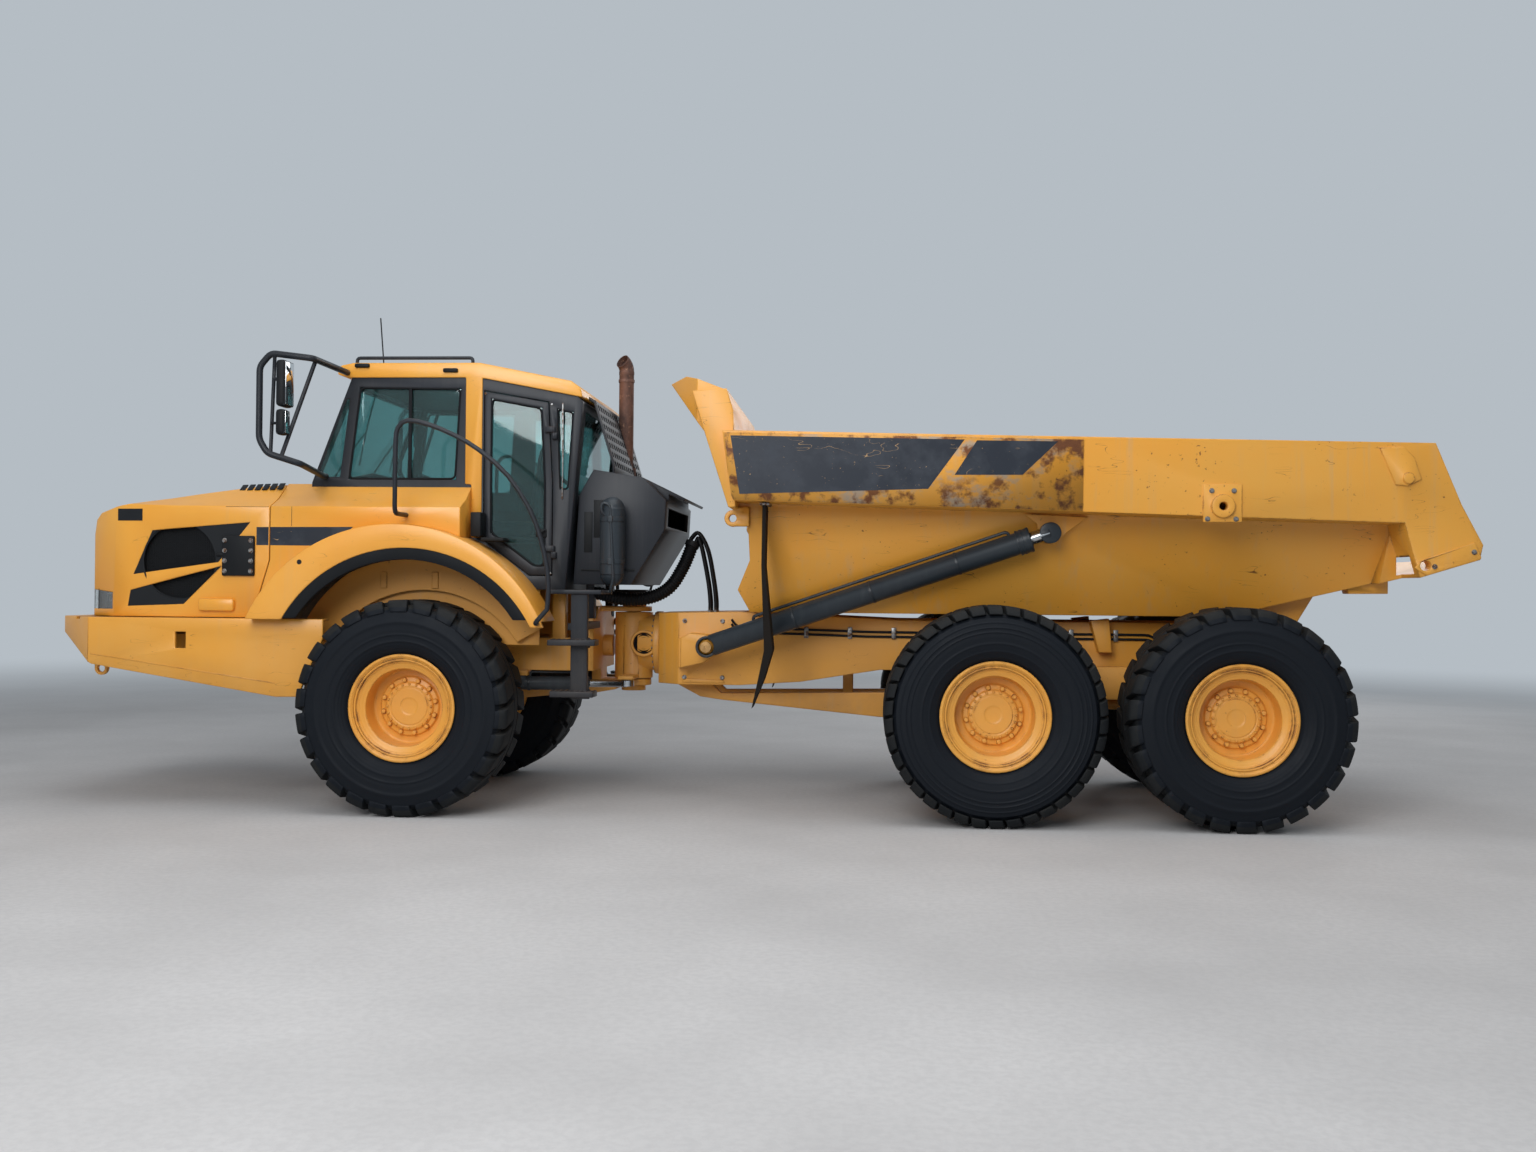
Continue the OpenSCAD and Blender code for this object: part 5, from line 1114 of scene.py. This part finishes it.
paired(mesh, "hitchWindow", "hitch", frameEnamel)
paired(dark, "hitchBellows", "hitch", hoseRubber)

# Hoses over the hinge
hoseSizes = {"sleeveRadius": 49, "ribHeight": 3.5, "ribPitch": 22, "hoseRadius": 15}
sleeveRoute = [at(1203, -410, 1590), at(1240, -410, 1590), at(1400, -400, 1552), at(1600, -350, 1560),
               at(1756, -290, 1640), at(1860, -230, 1810), at(1928, -199, 1992)]

mesh = bmesh.new()
swept(mesh, sleeveRoute, hoseSizes["sleeveRadius"], 24, 8, hoseSizes["ribHeight"], hoseSizes["ribPitch"])
sleeve = settled(mesh, "hoseSleeve", None, hoseRubber, ["hoses_front"], 60)
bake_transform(sleeve)
mesh = bmesh.new()
top, run = at(1925, -200, 1985), Vector((0.344, 0.159, 0.926)).normalized()
turned(mesh, top, run, [(0, -26), (55, -26), (57, -20), (57, 10), (53, 16), (0, 16)], 32)
collar = settled(mesh, "hoseCollar", None, blackPlastic)
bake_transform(collar)
mesh, ends = bmesh.new(), bmesh.new()
aside = Vector((-run.z, 0, run.x)).normalized()
for i, j in ((-1, -1), (1, -1), (-1, 1), (1, 1)):
    start = top + aside * i * 0.022 - Vector((0, j * 0.022, 0)) + run * 0.012
    y, x = -200 - j * 22, 2092 + i * 22
    route = [start, start + run * 0.03, at(1974, y, 2044 + i * 22), at(2026 + i * 22, y - j * 6, 1930),
             at(2074 + i * 22, y - j * 13, 1690), at(x, y - j * 22, 1540), at(x, y - j * 22, 1461)]
    swept(mesh, route, hoseSizes["hoseRadius"], 14, 6)
    turned(ends, at(x, y - j * 22, 1456), (0, 0, 1), [(0, 1), (20, 1), (20, 12), (16, 14), (16, 34), (0, 34)],
           6)
lower = settled(mesh, "hoseBundle", None, hoseRubber, ["hoses_rear"], 60)
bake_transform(lower)
settled(ends, "hoseEnds", "rear_frame", platedSteel)
print("hitch and hoses made")

# Rear frame and bogie
frameSizes = {"lines": (1345, 1310), "clampPitch": 330}

dressed("rear_frame", "rear_frame", frameEnamel, 6)
dressed("bogie_beams", "rear_frame", frameEnamel, 6)
dressed("bogie_axles", "rear_frame", frameEnamel, 3)
dressed("stays", "rear_frame", frameEnamel, 5)
mesh, clamps = bmesh.new(), bmesh.new()
for z in frameSizes["lines"]:
    spots = ((2260, -470, z + 60), (2300, -462, z), (3300, -462, z - 25), (5400, -462, z - 25),
             (5460, -462, z - 90))
    swept(mesh, bent([at(*spot) for spot in spots], 0.05), 9, 10)
for x in range(2480, 5400, frameSizes["clampPitch"]):
    crate(clamps, x, x + 34, -474, -449, 1268, 1354)
paired(mesh, "oilLines", "rear_frame", blackPlastic)
paired(clamps, "lineClamps", "rear_frame", platedSteel, 3)
rows = [facing(at(x, -452, z), (0, -1, 0)) for x, z in ((1900, 1390), (1900, 960), (2190, 1390), (2190, 960))]
settled(placed(plateBolt.data, bothSides(rows)), "frameBolts", "rear_frame", platedSteel)
drawn("framePocket", "rear_frame", frameEnamel, "painted", 2,
      ([(1880, 953), (2200, 941), (2210, 918), (1890, 920)], -456, -449))
mesh = bmesh.new()
for x in (4175, 5845):  # rubber blocks between the beams and the axles
    for z in (884, 900, 916):
        crate(mesh, x - 130, x + 130, -694, -556, z - 5, z + 5)
paired(mesh, "axleBlocks", "rear_frame", sealRubber, 3)

# Dump body with its worn side panels
bodySizes = {"skin": -1305, "panel": [(2271, 2737), (4770, 2690), (4767, 2197), (2342, 2265), (2327, 2300)],
             "stripes": ([(2318, 2716), (3953, 2690), (3703, 2345), (2385, 2304)],
                         [(4039, 2684), (4596, 2678), (4354, 2445), (3885, 2443)])}

dressed("dump_body", "dump_body", railEnamel, 4)
drawn("railPanel", "dump_body", panelEnamel, "painted", 1,
      (bodySizes["panel"], bodySizes["skin"] - 1.5, bodySizes["skin"] + 1))
mesh = bmesh.new()
for outline in bodySizes["stripes"]:
    plate(mesh, outline, bodySizes["skin"] - 2.2, bodySizes["skin"] - 1)
paired(mesh, "sideStripes", "dump_body", darkFilm)
heads = [facing(at(x, -1315, z), (0, -1, 0))
         for x, z in ((5612, 2146), (5804, 2146), (5640, 2340), (5790, 2340), (7130, 1830), (7390, 1930))]
settled(placed(plateBolt.data, bothSides(heads)), "railBolts", "dump_body", platedSteel)
dressed("mud_flaps", "dump_body", flapRubber, 0)
drawn("flapBars", "dump_body", platedSteel, "dark", 3, (2520, 2590, -1216, -962, 2232, 2250))

# Hoist cylinders
hoistSizes = {"low": (2100, 720, 1205), "high": (4575, 1060, 2053), "glands": (2410, 2440, 2488),
              "pipeLift": 0.104, "eyeReach": 0.14}

for side, s in (("left", -1), ("right", 1)):
    dressed("hoist_barrel_" + side, "hoist_barrel_" + side, slateEnamel, 2.5)
    rod = dressed("hoist_rod_" + side, "hoist_rod_" + side, chromedRod, 1.5)
    x, y, z = hoistSizes["low"]
    low = at(x, s * y, z)
    x, y, z = hoistSizes["high"]
    high = at(x, s * y, z)
    aim = (high - low).normalized()
    rod.data.materials.append(slateEnamel)  # the eye is painted, only the rod is chromed
    for face in rod.data.polygons:
        if (face.center - high).length < hoistSizes["eyeReach"]:
            face.material_index = 1
    lift = Vector((-aim.z, 0, aim.x)).normalized() * hoistSizes["pipeLift"]
    mesh = bmesh.new()
    for along in hoistSizes["glands"]:
        turned(mesh, low, aim, [(80, along - 9), (91, along - 8), (91, along + 8), (80, along + 9)], 40)
    spots = [low + aim * d + lift * k
             for d, k in ((0.40, 0.6), (0.40, 1), (1.2, 1), (1.9, 1), (2.36, 1), (2.36, 0.6))]
    swept(mesh, bent(spots, 0.03), 12, 10)
    for along in (700, 1300, 1950):
        turned(mesh, low, aim, [(79, along - 10), (83, along - 10), (83, along + 10), (79, along + 10)], 40)
    settled(mesh, "hoistPipe_" + side, "hoist_barrel_" + side, slateEnamel)
    mesh = bmesh.new()
    head = [(0, -3), (40, -3), (43, 0), (40, 5), (12, 6), (10, 3), (0, 3)]
    turned(mesh, at(2100, s * 798, 1205), (0, s, 0), head, 36)
    settled(mesh, "hoistPin_" + side, "rear_frame", bushBronze)
print("rear unit made")

# Pale concrete floor and soft studio light
studioSizes = {"floor": 60, "overhead": (0.5, -4.0, 11.0), "overheadSize": 11, "overheadPower": 620,
               "fill": (-3.0, -14.0, 7.5), "fillSize": 8, "fillPower": 1150, "back": (6.0, 12.0, 7.0),
               "backPower": 360, "target": (0, 0, 1.2), "wall": "#b5bdc4", "fadeFrom": 9.0, "fadeTo": 26.0}

concrete, tree, shader, place = surface("concrete", Roughness=0.85, IOR=1.5)
stain = add(tree, "MapRange", {0: grain(tree, place, 0.5, 6), 1: 0.35, 2: 0.7})
fleck = add(tree, "MapRange", {0: grain(tree, place, 26, 4), 1: 0.40, 2: 0.62})
flecked = add(tree, "Math", {0: fleck, 1: 0.25}, operation="MULTIPLY")
pale = layered(tree, linear("#c9c8c8"), [(stain, linear("#b9b8b8")), (flecked, linear("#a9a8a9"))])
joined(tree, shader, Base_Color=pale,
       Normal=add(tree, "Bump", {"Height": fleck, "Strength": 0.15, "Distance": 0.002}))
reach = add(tree, "VectorMath", {0: place}, out=1, operation="LENGTH")
far = add(tree, "MapRange", {0: reach, 1: studioSizes["fadeFrom"], 2: studioSizes["fadeTo"]},
          interpolation_type="SMOOTHSTEP")
wallTone = add(tree, "Emission", {"Color": linear(studioSizes["wall"]), "Strength": 1.0})
merged = add(tree, "MixShader", {0: far, 1: shader.outputs[0], 2: wallTone})
tree.links.new(merged, tree.nodes["Material Output"].inputs["Surface"])
mesh = bmesh.new()
bmesh.ops.create_grid(mesh, x_segments=4, y_segments=4, size=studioSizes["floor"])
floor = standing("floor", baked(mesh, "floor"))
floor.data.materials.append(concrete)
floor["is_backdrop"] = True

world = bpy.data.worlds.new("studio")
scene.world = world
world.use_nodes = True
tree = world.node_tree
tree.nodes.clear()
ray = tree.nodes.new("ShaderNodeLightPath")
seen = ray.outputs["Is Camera Ray"]
for kind in ("Is Glossy Ray", "Is Transmission Ray"):
    seen = add(tree, "Math", {0: seen, 1: ray.outputs[kind]}, operation="MAXIMUM")
soft = add(tree, "Background", {"Color": linear("#c4ccd4"), "Strength": 0.34})
wall = add(tree, "Background", {"Color": linear(studioSizes["wall"]), "Strength": 1.0})
tree.links.new(add(tree, "MixShader", {0: seen, 1: soft, 2: wall}),
               tree.nodes.new("ShaderNodeOutputWorld").inputs["Surface"])


def areaLight(name, size):
    lamp = bpy.data.lights.new(name, "AREA")
    lamp.shape, lamp.size, lamp.energy = "DISK", size, studioSizes[name + "Power"]
    holder = standing(name, lamp)
    holder.location = studioSizes[name]
    aim = Vector(studioSizes["target"]) - holder.location
    holder.rotation_euler = aim.to_track_quat("-Z", "Y").to_euler()


areaLight("overhead", studioSizes["overheadSize"])
areaLight("fill", studioSizes["fillSize"])
areaLight("back", studioSizes["fillSize"])

low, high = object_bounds()
print("dressed size:", [round(b - a, 3) for a, b in zip(low, high)])
